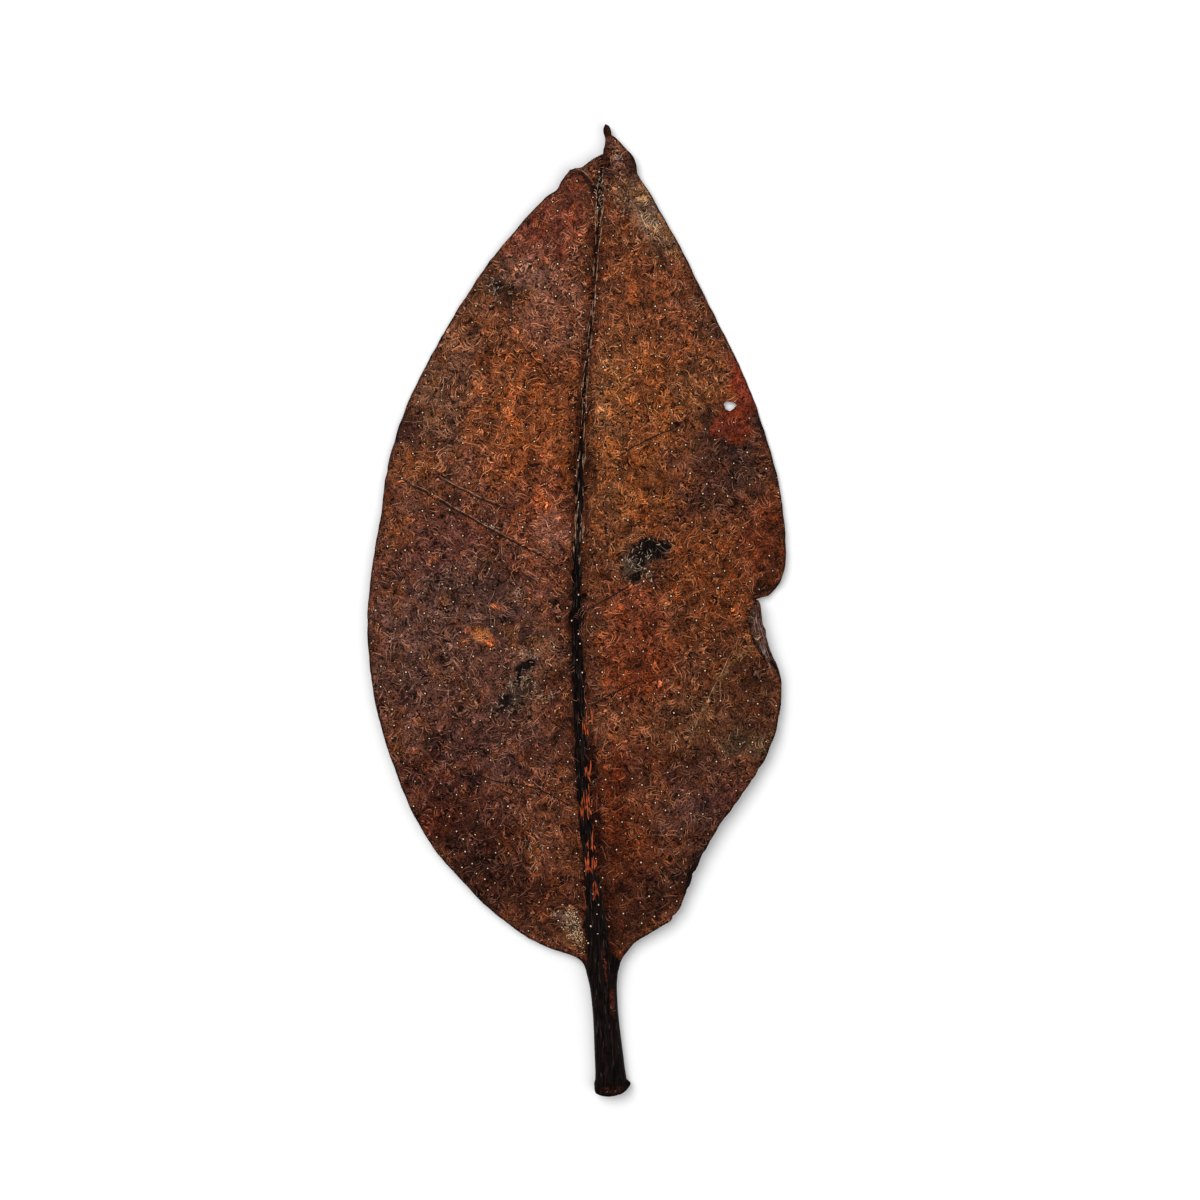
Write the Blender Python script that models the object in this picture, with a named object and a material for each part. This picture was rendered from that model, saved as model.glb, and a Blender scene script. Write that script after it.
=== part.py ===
"""A fallen mangrove leaf, dried flat: blade, midrib and leaf stalk grown as one piece.

The leaf lies upper face up. +Y runs to the tip, +X to the right as seen from above, and +Z up.
The origin is the middle of its bounding box at the bottom, so z = 0 is the ground.

The leaf is drawn first as a flat pattern, in millimetres: its outline, a hole, the midrib and the
side veins. The pattern is split into triangles once, bent into the middle sheet of the leaf, and
offset by half its thickness to both faces, which therefore share one triangulation and never cross.
"""

import math
import random

import bmesh
import bpy
import numpy as np
from mathutils import Vector, kdtree, noise
from mathutils.geometry import delaunay_2d_cdt

# Driving dimensions, in millimetres
MM = 0.001
HALF_THICKNESS = 0.36
TIP_Y = 70.6
LEAF_COLOUR = (0.105, 0.041, 0.019, 1.0)
SEED = 7

# Outline of the flat pattern as (x, y), clockwise from the tip
RIGHT_SHOULDER = [
    (4.2, 70.6), (4.9, 69.8), (5.1, 68.9), (6.7, 67.4), (8.0, 65.8), (8.7, 63.5), (11.2, 59.5),
    (15.3, 52.2), (18.9, 45.0), (23.3, 36.3), (26.3, 29.0), (28.9, 20.3), (30.1, 13.0),
    (30.3, 7.3), (29.7, 4.4), (28.1, 2.3), (26.9, 1.9), (25.6, 1.5),
]
FOLDED_STRIP = [
    (25.6, 1.5), (27.4, 1.1), (28.6, -0.6), (29.0, -2.2), (29.6, -4.2), (29.7, -5.6),
    (29.5, -6.8), (29.4, -8.2), (29.5, -9.5), (29.7, -10.8),
]
RIGHT_BASE = [
    (29.7, -10.8), (29.5, -14.0), (28.8, -17.5), (27.2, -21.8), (25.8, -24.0), (22.3, -29.0),
    (20.2, -31.9), (17.2, -37.7), (16.0, -40.6), (14.7, -43.5), (13.6, -45.0), (11.4, -46.4),
    (8.8, -47.9), (7.5, -49.3), (6.4, -50.8), (5.9, -52.5),
]
CUT_END = [
    (7.2, -68.2), (7.8, -68.9), (7.2, -69.7), (6.3, -70.2), (5.1, -70.5), (3.2, -70.3),
    (2.6, -69.3), (2.8, -68.2),
]
LEFT_SIDE = [
    (1.5, -52.5), (0.8, -50.9), (-0.8, -50.0), (-3.0, -49.3), (-6.3, -47.9), (-8.6, -46.4),
    (-12.4, -43.5), (-15.4, -40.6), (-20.5, -34.8), (-23.9, -29.0), (-26.3, -23.2), (-28.6, -16.0),
    (-30.0, -8.0), (-30.3, -1.0), (-29.7, 5.8), (-28.3, 14.5), (-27.7, 19.5), (-26.0, 26.1),
    (-23.7, 31.9), (-19.1, 40.6), (-13.6, 49.3), (-8.9, 55.1), (-4.9, 59.5), (-2.9, 61.0),
    (-2.2, 62.3), (-0.9, 63.9),
]
TIP_LEFT = [
    (-0.9, 63.9), (0.5, 64.1), (2.0, 65.3), (3.7, 66.3), (3.9, 66.5), (4.1, 68.0), (3.9, 69.0),
    (4.2, 70.6),
]


# Midrib and leaf stalk, as (y, value) stations from the cut end to the tip
STALK_TOP_Y = -52.5
STALK_END_Y = -68.2
MIDRIB_X = [
    (-70.5, 5.2), (-68.2, 5.0), (-60.3, 4.35), (-52.5, 3.7), (-42.0, 2.6), (-27.6, 1.2),
    (-13.0, 0.5), (1.5, 0.1), (16.0, 0.5), (30.5, 1.1), (45.0, 2.5), (59.5, 3.4), (70.6, 4.2),
]
RIB_HALF_WIDTH = [
    (-70.5, 2.6), (-68.2, 2.2), (-64.4, 1.98), (-57.0, 1.78), (-54.5, 1.9), (-52.5, 2.2),
    (-49.0, 2.3), (-42.0, 1.9), (-28.0, 1.5), (0.0, 1.15), (40.0, 0.85), (70.6, 0.45),
]
RIB_BELOW = [(-70.5, 1.25), (-62.0, 1.2), (-50.0, 1.35), (-35.0, 1.15), (0.0, 0.85), (40.0, 0.55), (70.6, 0.2)]
RIB_ABOVE = [(-70.5, 1.05), (-56.0, 1.0), (-50.0, 0.7), (-42.0, 0.3), (-32.0, 0.0), (70.6, 0.0)]
GROOVE_HALF_WIDTH = [(-50.0, 0.9), (-20.0, 0.8), (0.0, 0.55), (30.0, 0.45), (70.6, 0.3)]
GROOVE_DEPTH = [(-54.0, 0.0), (-46.0, 0.15), (-20.0, 0.34), (0.0, 0.34), (50.0, 0.26), (70.6, 0.1)]
STALK_ROWS = 11
STALK_RIDGES = 12
STALK_RIDGE_HEIGHT = 0.07

# Lie of the middle sheet above the ground, as (y, z) stations
SPINE_Z = [
    (-70.5, 1.42), (-62.0, 1.50), (-52.0, 2.10), (-40.0, 2.70), (-20.0, 3.05), (10.0, 3.35),
    (37.0, 3.50), (55.0, 2.95), (64.0, 2.20), (70.6, 1.70),
]
LEFT_MARGIN_Z = [
    (-52.0, 2.30), (-42.0, 2.25), (-28.0, 2.10), (-8.0, 1.80), (10.0, 1.40), (25.0, 0.90),
    (36.5, 0.46), (48.0, 0.85), (58.0, 1.50), (66.0, 2.00),
]
RIGHT_MARGIN_Z = [
    (-52.0, 2.40), (-46.0, 2.70), (-34.0, 3.10), (-22.0, 2.90), (-10.0, 2.30), (5.0, 1.70),
    (22.0, 1.00), (37.5, 0.52), (48.0, 0.95), (58.0, 1.40), (66.0, 1.90),
]
LEFT_MARGIN_X = [
    (-52.0, 1.4), (-48.0, -6.0), (-40.0, -16.0), (-29.0, -23.9), (-16.0, -28.6), (-1.0, -30.3),
    (14.5, -28.3), (31.9, -23.7), (49.3, -13.6), (61.0, -2.9), (66.0, 2.0), (70.6, 3.9),
]
RIGHT_MARGIN_X = [
    (-52.0, 5.8), (-47.0, 10.3), (-40.0, 16.2), (-29.0, 22.3), (-20.0, 27.8), (-8.0, 30.0),
    (7.3, 30.3), (20.3, 28.9), (36.3, 23.3), (52.2, 15.3), (63.5, 8.7), (70.6, 4.9),
]
SPREAD_POWER = 1.7
BLADE_FADE = 8.0

# Small shapes of the sheet: the edge turned down, slow waves, and creases as (x, y, reach, rise)
EDGE_TURN_WIDTH = 1.4
EDGE_TURN_DROP = 0.30
WAVE_LENGTH = 17.0
WAVE_HEIGHT = 0.35
WAVE_MARGIN = 6.0
WRINKLE_LENGTH = 3.6
WRINKLE_HEIGHT = 0.09
SOFT_BUMPS = [
    (28.2, 3.0, 1.7, -0.90),
    (0.2, 62.6, 1.6, 0.55),
    (2.6, 62.2, 0.9, -0.45),
    (22.6, -22.9, 1.8, 0.35),
    (20.5, -12.0, 2.4, 0.30),
    (-14.0, 6.0, 6.0, 0.25),
    (12.0, 24.0, 6.0, 0.25),
    (22.3, 29.7, 3.2, -0.50),
]

# Strip of the margin below the tear, folded over on to the upper face
FOLD_LINE = [(-10.8, 29.7), (-9.2, 28.9), (-7.3, 27.7), (-4.4, 26.6), (-1.5, 25.9), (1.5, 25.6)]
FOLD_TOP_Y = 1.5
FOLD_BOTTOM_Y = -10.8
FOLD_RADIUS = 0.64
FOLD_COLUMNS = 7
FOLD_ROW_SPACING = 0.65

# Hole right through the blade
HOLE_CENTRE = (22.3, 29.7)
HOLE_RADII = (0.98, 0.75)
HOLE_SIDES = 10

# Side veins
VEIN_PAIRS = 11
VEIN_FIRST_Y = -42.0
VEIN_SPACING = 9.3
VEIN_RISE = 0.50
VEIN_ARCH = 0.010
VEIN_STEP = 1.7
VEIN_START = 1.1
VEIN_STOP = 2.0
VEIN_STAGGER = 0.22
VEIN_GROOVE = 0.13
VEIN_RIDGE = 0.26
VEIN_WIDTH = 0.55

# Spacing of the triangulation between those lines
MARGIN_SPACING = 1.25
FINE_MARGIN_SPACING = 0.55
FILL_SPACING = 1.78
FILL_CLEARANCE = 0.85
FILL_JITTER = 0.2
EDGE_CLEARANCE = 0.35
MIDRIB_STEP = 1.6
MIDRIB_END_GAP = 2.1
RAGGED_SCALE = 0.6


def clear_scene():
    """Remove every object of the scene that the script starts in."""
    for thing in list(bpy.data.objects):
        bpy.data.objects.remove(thing, do_unlink=True)


def along(stations, places):
    """Values at the given places of a smooth curve through (place, value) stations."""
    knots, values = np.array(stations, dtype=float).T
    slopes = np.gradient(values, knots)
    held = np.clip(places, knots[0], knots[-1])
    k = np.clip(np.searchsorted(knots, held) - 1, 0, len(knots) - 2)
    span = knots[k + 1] - knots[k]
    t = (held - knots[k]) / span
    rise = values[k + 1] - values[k]
    start_slope = slopes[k] * span
    end_slope = slopes[k + 1] * span
    bend = t * (1 - t) * ((1 - t) * (start_slope - rise) - t * (end_slope - rise))
    return values[k] + t * rise + bend


def smooth_path(points, spacing):
    """Points about spacing apart on a Catmull-Rom curve through the given points."""
    given = np.array(points, dtype=float)
    ends = np.vstack([2 * given[0] - given[1], given, 2 * given[-1] - given[-2]])
    t = np.linspace(0, 1, 12, endpoint=False)[:, None]
    pieces = []
    for a, b, c, d in zip(ends, ends[1:], ends[2:], ends[3:]):
        pieces.append(
            0.5 * (2 * b + (c - a) * t + (2 * a - 5 * b + 4 * c - d) * t**2 + (3 * b - a - 3 * c + d) * t**3)
        )
    curve = np.vstack(pieces + [given[-1:]])
    length = np.concatenate([[0], np.cumsum(np.hypot(*np.diff(curve, axis=0).T))])
    marks = np.linspace(0, length[-1], max(2, round(length[-1] / spacing)) + 1)
    return np.column_stack([np.interp(marks, length, curve[:, 0]), np.interp(marks, length, curve[:, 1])])


def stalk_side(side):
    """Points down the right side of the leaf stalk, or up its left side, at half its width from its middle."""
    rows = round((STALK_TOP_Y - STALK_END_Y) / MARGIN_SPACING)
    y = np.linspace(STALK_TOP_Y, STALK_END_Y, rows + 1)
    line = np.column_stack([along(MIDRIB_X, y) + side * along(RIB_HALF_WIDTH, y), y])
    return line if side > 0 else line[::-1]


def outline_ring():
    """The closed outline of the flat pattern, its edge lightly ragged, without a repeated last point."""
    stretches = [
        (smooth_path(RIGHT_SHOULDER[:6], FINE_MARGIN_SPACING), 0.02),
        (smooth_path(RIGHT_SHOULDER[5:], MARGIN_SPACING), 0.10),
        (smooth_path(FOLDED_STRIP, FINE_MARGIN_SPACING), 0.0),
        (smooth_path(RIGHT_BASE, MARGIN_SPACING), 0.14),
        (stalk_side(1), 0.0),
        (smooth_path(CUT_END, FINE_MARGIN_SPACING), 0.08),
        (stalk_side(-1), 0.0),
        (smooth_path(LEFT_SIDE, MARGIN_SPACING), 0.10),
        (smooth_path(TIP_LEFT, FINE_MARGIN_SPACING), 0.02),
    ]
    ring = []
    for path, ragged in stretches:
        run = np.gradient(path, axis=0)
        outward = np.column_stack([-run[:, 1], run[:, 0]]) / np.hypot(run[:, 0], run[:, 1])[:, None]
        for k in range(len(path) - 1):
            wobble = noise.noise(Vector((*(path[k] * RAGGED_SCALE), SEED)))
            shift = ragged * wobble if k else 0.0
            ring.append(path[k] + outward[k] * shift)
    return np.array(ring)


def hole_ring():
    """A slightly uneven ring of points around the hole."""
    ring = []
    for k in range(HOLE_SIDES):
        angle = 2 * math.pi * k / HOLE_SIDES
        uneven = 1 + 0.10 * math.sin(3 * angle + 0.6)
        ring.append((
            HOLE_CENTRE[0] + HOLE_RADII[0] * uneven * math.cos(angle),
            HOLE_CENTRE[1] + HOLE_RADII[1] * uneven * math.sin(angle),
        ))
    return np.array(ring)


def inside(ring, points):
    """Whether each point lies inside the closed ring, by counting crossings of a line to its right."""
    x, y = points[:, 0], points[:, 1]
    within = np.zeros(len(points), dtype=bool)
    for (ax, ay), (bx, by) in zip(ring, np.roll(ring, -1, axis=0)):
        if ay != by:
            crosses = (ay > y) != (by > y)
            within ^= crosses & (x < (bx - ax) * (y - ay) / (by - ay) + ax)
    return within


def tree_of(points):
    """A search tree over flat points."""
    tree = kdtree.KDTree(len(points))
    for k, (x, y) in enumerate(points):
        tree.insert((x, y, 0.0), k)
    tree.balance()
    return tree


def distance_to(tree, points):
    """Distance from each flat point to the nearest point of a search tree."""
    return np.array([tree.find((x, y, 0.0))[2] for x, y in points])


def midrib_lines():
    """Lines along the blade's midrib: its centre, the groove's edges above and the rib's below."""
    count = round((TIP_Y - MIDRIB_END_GAP - STALK_TOP_Y) / MIDRIB_STEP)
    y = np.linspace(STALK_TOP_Y + MIDRIB_STEP / 2, TIP_Y - MIDRIB_END_GAP, count)
    centre = along(MIDRIB_X, y)
    groove = along(GROOVE_HALF_WIDTH, y)
    rib = np.maximum(along(RIB_HALF_WIDTH, y), groove + 0.3)
    return [np.column_stack([centre + offset, y]) for offset in (-rib, -groove, 0 * rib, groove, rib)]


def stalk_rows():
    """Points in rows across the leaf stalk, spaced so that its section comes out round."""
    rows = []
    for y in np.linspace(STALK_END_Y - MARGIN_SPACING, STALK_TOP_Y, STALK_ROWS):
        centre = along(MIDRIB_X, y)
        half = along(RIB_HALF_WIDTH, y)
        for k in range(1, STALK_RIDGES):
            angle = math.pi * (k / STALK_RIDGES - 0.5)
            rows.append((centre + half * math.sin(angle), y))
    return np.array(rows)


def side_vein_lines(ring):
    """Side veins that leave the midrib by turns left and right, rise outward and stop short of the margin."""
    dice = random.Random(SEED)
    margin = tree_of(smooth_ring(ring, 0.5))
    lines = []
    for pair in range(VEIN_PAIRS):
        for side in (-1, 1):
            start_y = VEIN_FIRST_Y + VEIN_SPACING * (pair + VEIN_STAGGER * side) + dice.uniform(-1.0, 1.0)
            start_x = along(MIDRIB_X, start_y)
            rise = VEIN_RISE + dice.uniform(-0.05, 0.05)
            line = []
            reach = along(RIB_HALF_WIDTH, start_y) + VEIN_START
            while True:
                point = (start_x + side * reach, start_y + rise * reach + VEIN_ARCH * reach**2)
                beyond = not inside(ring, np.array([point]))[0]
                if beyond or margin.find((*point, 0.0))[2] < VEIN_STOP:
                    break
                line.append(point)
                reach += VEIN_STEP
            if len(line) > 2:
                lines.append(np.array(line))
    return lines


def smooth_ring(ring, spacing):
    """The ring's straight sides resampled closely, for distances to it."""
    closed = np.vstack([ring, ring[:1]])
    length = np.concatenate([[0], np.cumsum(np.hypot(*np.diff(closed, axis=0).T))])
    marks = np.arange(0, length[-1], spacing)
    return np.column_stack([np.interp(marks, length, closed[:, 0]), np.interp(marks, length, closed[:, 1])])


def fold_grid():
    """Columns of points across the folded strip, close enough together for its tight curl."""
    points = []
    for y in np.arange(FOLD_BOTTOM_Y + 0.6, FOLD_TOP_Y - 0.5, FOLD_ROW_SPACING):
        start = along(FOLD_LINE, y)
        for k in range(FOLD_COLUMNS + 1):
            points.append((start + math.pi * FOLD_RADIUS * k / FOLD_COLUMNS, y))
    return np.array(points)


def fill_points(ring, placed):
    """A jittered triangular lattice inside the ring, clear of the points already placed."""
    dice = random.Random(SEED + 1)
    lattice = []
    row_height = FILL_SPACING * math.sqrt(3) / 2
    rows = math.ceil(TIP_Y / row_height)
    columns = math.ceil(np.abs(ring[:, 0]).max() / FILL_SPACING)
    for row in range(-rows, rows + 1):
        for column in range(-columns - 1, columns + 1):
            lattice.append((
                (column + 0.5 * (row % 2)) * FILL_SPACING + dice.uniform(-FILL_JITTER, FILL_JITTER),
                row * row_height + dice.uniform(-FILL_JITTER, FILL_JITTER),
            ))
    lattice = np.array(lattice)
    lattice = lattice[inside(ring, lattice)]
    return lattice[distance_to(tree_of(placed), lattice) > FILL_CLEARANCE]


def split_pattern():
    """Points, triangles and side veins of the flat pattern."""
    ring = outline_ring()
    hole = hole_ring()
    veins = side_vein_lines(ring)
    ribs = midrib_lines()
    margin = tree_of(smooth_ring(ring, 0.3))
    hole_edge = tree_of(smooth_ring(hole, 0.2))
    curled = tree_of(fold_grid())

    points = list(ring) + list(hole)
    edges = [(k, (k + 1) % len(ring)) for k in range(len(ring))]
    edges += [(len(ring) + k, len(ring) + (k + 1) % len(hole)) for k in range(len(hole))]
    for line in ribs + veins:
        clear = inside(ring, line) & (distance_to(margin, line) > EDGE_CLEARANCE)
        clear &= np.minimum(distance_to(hole_edge, line), distance_to(curled, line)) > FILL_CLEARANCE
        kept = line[clear]
        start = len(points)
        points += list(kept)
        for k in range(len(kept) - 1):
            if np.hypot(*(kept[k + 1] - kept[k])) < 2 * VEIN_STEP:
                edges.append((start + k, start + k + 1))

    for loose in (stalk_rows(), fold_grid()):
        clear = inside(ring, loose) & (distance_to(margin, loose) > EDGE_CLEARANCE)
        points += list(loose[clear])
    between = [(line[:-1] + line[1:]) / 2 for line in ribs + veins]
    fill = fill_points(ring, np.vstack([np.array(points), smooth_ring(ring, 0.6)] + between))
    points += list(fill[~inside(hole, fill)])

    flat = [Vector(point) for point in points]
    coords, _, faces, _, _, _ = delaunay_2d_cdt(flat, edges, [], 0, 1e-4, False)
    places = np.array([tuple(point) for point in coords])
    middles = np.array([places[list(face)].mean(axis=0) for face in faces])
    in_leaf = inside(ring, middles) & ~inside(hole, middles)
    triangles = [tuple(face) for face, kept in zip(faces, in_leaf) if kept]
    return places, triangles, veins, ring


def noise_at(points, wavelength, layer):
    """Smooth noise, between about -1 and 1, at flat points; each layer has its own pattern."""
    return np.array([noise.noise(Vector((x / wavelength, y / wavelength, layer + 0.4))) for x, y in points])


def beyond_fold(points):
    """How far each flat point lies past the fold line, in the strip that is folded over."""
    x, y = points.T
    past = np.clip(x - along(FOLD_LINE, y), 0, None)
    return np.where((y < FOLD_TOP_Y) & (y > FOLD_BOTTOM_Y), past, 0.0)


def sheet_height(points, margin):
    """Height of the middle sheet over the ground at flat points."""
    x, y = points.T
    offset = x - along(MIDRIB_X, y)
    left_reach = np.maximum(along(MIDRIB_X, y) - along(LEFT_MARGIN_X, y), 1.0)
    right_reach = np.maximum(along(RIGHT_MARGIN_X, y) - along(MIDRIB_X, y), 1.0)
    share = np.clip(np.where(offset < 0, -offset / left_reach, offset / right_reach), 0, 1.05)
    spine = along(SPINE_Z, y)
    edge = np.where(offset < 0, along(LEFT_MARGIN_Z, y), along(RIGHT_MARGIN_Z, y))
    height = spine + (edge - spine) * share**SPREAD_POWER

    on_blade = np.clip((y - STALK_TOP_Y) / BLADE_FADE, 0, 1)
    margin_distance = distance_to(margin, points)
    turned = np.where(beyond_fold(points) > 0, 0, np.clip(1 - margin_distance / EDGE_TURN_WIDTH, 0, 1) ** 2)
    height -= EDGE_TURN_DROP * turned * on_blade
    waves = WAVE_HEIGHT * noise_at(points, WAVE_LENGTH, SEED) * np.clip(margin_distance / WAVE_MARGIN, 0.15, 1)
    wrinkles = WRINKLE_HEIGHT * noise_at(points, WRINKLE_LENGTH, 2 * SEED)
    height += (waves + wrinkles) * on_blade
    for bump_x, bump_y, reach, rise in SOFT_BUMPS:
        away = ((x - bump_x) ** 2 + (y - bump_y) ** 2) / reach**2
        height += rise * np.exp(-away)
    return np.where(y < STALK_TOP_Y, spine, height)


def fold_over(points, height):
    """Positions in space of the middle sheet, with the strip below the tear curled over."""
    x, y = points.T
    beyond = beyond_fold(points)
    half_turn = math.pi * FOLD_RADIUS
    angle = np.minimum(beyond, half_turn) / FOLD_RADIUS
    shift = FOLD_RADIUS * np.sin(angle) - np.clip(beyond - half_turn, 0, None)
    lift = FOLD_RADIUS * (1 - np.cos(angle))
    return np.column_stack([x - beyond + shift, y, height + lift])


def face_offsets(points, veins):
    """Distance from the middle sheet up to the upper face and down to the lower face."""
    x, y = points.T
    offset = x - along(MIDRIB_X, y)
    rib = np.clip(np.abs(offset) / along(RIB_HALF_WIDTH, y), 0, 1)
    groove = np.clip(np.abs(offset) / along(GROOVE_HALF_WIDTH, y), 0, 1)
    rounded = np.sqrt(1 - rib**2)
    above = HALF_THICKNESS + along(RIB_ABOVE, y) * rounded - along(GROOVE_DEPTH, y) * (1 - groove**2) ** 2
    below = HALF_THICKNESS + along(RIB_BELOW, y) * rounded

    around = np.arcsin(np.clip(offset / along(RIB_HALF_WIDTH, y), -1, 1))
    on_stalk = np.clip((STALK_TOP_Y + BLADE_FADE - y) / BLADE_FADE, 0, 1)
    ridge = STALK_RIDGE_HEIGHT * np.cos(STALK_RIDGES * around) * on_stalk * rounded
    vein = np.exp(-((distance_to(tree_of(np.vstack(veins)), points) / VEIN_WIDTH) ** 2))
    return above + ridge - VEIN_GROOVE * vein, below + ridge + VEIN_RIDGE * vein


def sheet_normals(positions, triangles):
    """Unit normals of the middle sheet at its points, weighted by the area of the triangles around."""
    normals = np.zeros_like(positions)
    for a, b, c in triangles:
        area = np.cross(positions[b] - positions[a], positions[c] - positions[a])
        normals[[a, b, c]] += area
    return normals / np.linalg.norm(normals, axis=1)[:, None]


def leaf_mesh():
    """The leaf's closed mesh: upper face, lower face and the rim between them."""
    places, triangles, veins, ring = split_pattern()
    margin = tree_of(smooth_ring(ring, 0.3))
    positions = fold_over(places, sheet_height(places, margin))
    normals = sheet_normals(positions, triangles)
    above, below = face_offsets(places, veins)
    upper = positions + normals * above[:, None]
    lower = positions - normals * below[:, None]
    lower[:, 2] = np.maximum(lower[:, 2], 0.0)

    mesh = bmesh.new()
    upper_verts = [mesh.verts.new(point * MM) for point in upper]
    lower_verts = [mesh.verts.new(point * MM) for point in lower]
    for a, b, c in triangles:
        mesh.faces.new((upper_verts[a], upper_verts[b], upper_verts[c]))
        mesh.faces.new((lower_verts[c], lower_verts[b], lower_verts[a]))
    uses = {(a, b) for face in triangles for a, b in zip(face, face[1:] + face[:1])}
    for a, b in sorted(uses):
        if (b, a) not in uses:
            mesh.faces.new((upper_verts[b], upper_verts[a], lower_verts[a]))
            mesh.faces.new((upper_verts[b], lower_verts[a], lower_verts[b]))
    return mesh


def leaf_material():
    """Brown, dry and leathery leaf."""
    material = bpy.data.materials.new("dry_leaf")
    material.use_nodes = True
    shader = material.node_tree.nodes["Principled BSDF"]
    shader.inputs["Base Color"].default_value = LEAF_COLOUR
    shader.inputs["Roughness"].default_value = 0.62
    shader.inputs["Metallic"].default_value = 0.0
    return material


def make_leaf():
    """Add the leaf to the scene."""
    shape = leaf_mesh()
    data = bpy.data.meshes.new("leaf")
    shape.to_mesh(data)
    shape.free()
    data.materials.append(leaf_material())
    data.shade_smooth()
    data.set_sharp_from_angle(angle=math.radians(40))
    leaf = bpy.data.objects.new("leaf", data)
    bpy.context.scene.collection.objects.link(leaf)
    return leaf


clear_scene()
make_leaf()
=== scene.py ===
"""Looks of a fallen, dried mangrove leaf that lies upper face up on a white card.

The leaf is one closed mesh that takes the place of the solid leaf: the same flat pattern and the same
lie, split far more finely, with its relief modelled. Four pieces are scattered over it with Geometry
Nodes: folds of dried cuticle coloured pale as painted highlights, wax beads coloured near white as
painted glints, cork warts beneath and grains of a pale crust. Thin tubes laid on its upper face make
the rest: bared fibres of the midrib, threads of torn skin (a few patches of them painted glints),
streaks of the folded strip, ridges of the stalk coloured grey as painted glints, dark lines of
painted shade along a few side veins, and pale lines of painted highlight on a bend and beside the
clearest dark lines. Lengths are millimetres up to the moment a mesh is made.
"""

import logging
import math
import random
from collections.abc import Iterator
from dataclasses import dataclass, field
from enum import Enum

import bpy
import numpy as np
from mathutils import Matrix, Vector, kdtree, noise
from mathutils.geometry import delaunay_2d_cdt

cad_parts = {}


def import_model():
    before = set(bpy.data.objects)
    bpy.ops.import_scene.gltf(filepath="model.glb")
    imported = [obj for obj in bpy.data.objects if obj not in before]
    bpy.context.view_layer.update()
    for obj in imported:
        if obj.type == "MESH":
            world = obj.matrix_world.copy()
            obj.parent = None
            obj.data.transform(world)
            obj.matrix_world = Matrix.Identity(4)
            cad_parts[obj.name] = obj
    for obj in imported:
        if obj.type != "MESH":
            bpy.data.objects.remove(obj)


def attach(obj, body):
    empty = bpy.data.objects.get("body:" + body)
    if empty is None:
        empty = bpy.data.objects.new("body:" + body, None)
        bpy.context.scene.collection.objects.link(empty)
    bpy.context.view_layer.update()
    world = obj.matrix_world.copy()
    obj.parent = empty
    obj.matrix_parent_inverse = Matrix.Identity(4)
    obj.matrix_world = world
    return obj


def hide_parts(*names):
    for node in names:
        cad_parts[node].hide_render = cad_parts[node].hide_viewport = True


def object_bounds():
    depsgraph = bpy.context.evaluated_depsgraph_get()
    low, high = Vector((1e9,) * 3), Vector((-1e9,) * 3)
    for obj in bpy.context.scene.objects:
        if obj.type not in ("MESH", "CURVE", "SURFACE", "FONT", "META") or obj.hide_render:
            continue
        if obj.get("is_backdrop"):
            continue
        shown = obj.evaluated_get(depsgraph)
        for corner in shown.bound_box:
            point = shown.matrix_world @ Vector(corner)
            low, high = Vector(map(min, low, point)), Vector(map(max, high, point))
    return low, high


LOG = logging.getLogger("leaf")

NODE = "leaf"
BODY = "root"
MM = 0.001
SEED = 7
RAY_START = 0.02

PHOTO_SIDE = 1200
MM_PER_PIXEL = 0.145
PHOTO_ORIGIN_PIXEL = (576.5, 610.0)

SHADER = "Principled BSDF"
MATH = "ShaderNodeMath"
VECTOR = "ShaderNodeVectorMath"
NOISE = "ShaderNodeTexNoise"
RANGE = "ShaderNodeMapRange"
MIX = "ShaderNodeMix"
RANDOM = "FunctionNodeRandomValue"

Values = np.ndarray
Points = np.ndarray
Path = tuple[tuple[float, float], ...]
Colour = tuple[float, float, float, float]
Tree = bpy.types.NodeTree
Node = bpy.types.Node
Socket = bpy.types.NodeSocket
Material = bpy.types.Material
Piece = bpy.types.Object


def linear(code: str) -> Colour:
    """Turn an sRGB hex colour into linear light.

    Args:
        code: Colour such as "#6b4028".

    Returns:
        Red, green, blue and an alpha of 1, in linear light.
    """
    channels = [int(code[k:k + 2], 16) / 255 for k in (1, 3, 5)]
    red, green, blue = (c / 12.92 if c <= 0.04045 else ((c + 0.055) / 1.055) ** 2.4 for c in channels)
    return (red, green, blue, 1.0)


def add_node(tree: Tree, kind: str, inputs: dict | None = None, **settings: object) -> Node:
    """Add a node to a tree with its settings, values and links.

    Args:
        tree: Node tree that takes the node.
        kind: Blender's type name of the node.
        inputs: Input name or index to a value, or to an output socket to link from.
        settings: Properties of the node itself.

    Returns:
        The new node.
    """
    node = tree.nodes.new(kind)
    for name, value in settings.items():
        setattr(node, name, value)
    for key, value in (inputs or {}).items():
        if isinstance(value, Socket):
            tree.links.new(value, node.inputs[key])
        else:
            node.inputs[key].default_value = value
    return node


def new_object(name: str, data: bpy.types.ID) -> Piece:
    """An object that holds the given data, linked to the scene."""
    made = bpy.data.objects.new(name, data)
    bpy.context.scene.collection.objects.link(made)
    return made


def new_material(name: str, roughness: float, specular: float) -> Material:
    """A material whose Principled shader has the given roughness and specular level."""
    material = bpy.data.materials.new(name)
    material.use_nodes = True
    shader = material.node_tree.nodes[SHADER]
    shader.inputs["Roughness"].default_value = roughness
    shader.inputs["Specular IOR Level"].default_value = specular
    return material


def smoothstep(low: float, high: float, values: Values) -> Values:
    """Values eased from 0 at low to 1 at high."""
    t = np.clip((values - low) / (high - low), 0, 1)
    return t * t * (3 - 2 * t)


def noise_field(points: Points, wavelength: float, layer: int) -> Values:
    """Smooth noise between about -1 and 1 at flat points, with its own pattern for each layer."""
    return np.array([noise.noise(Vector((x / wavelength, y / wavelength, layer + 0.4))) for x, y in points])


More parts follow.
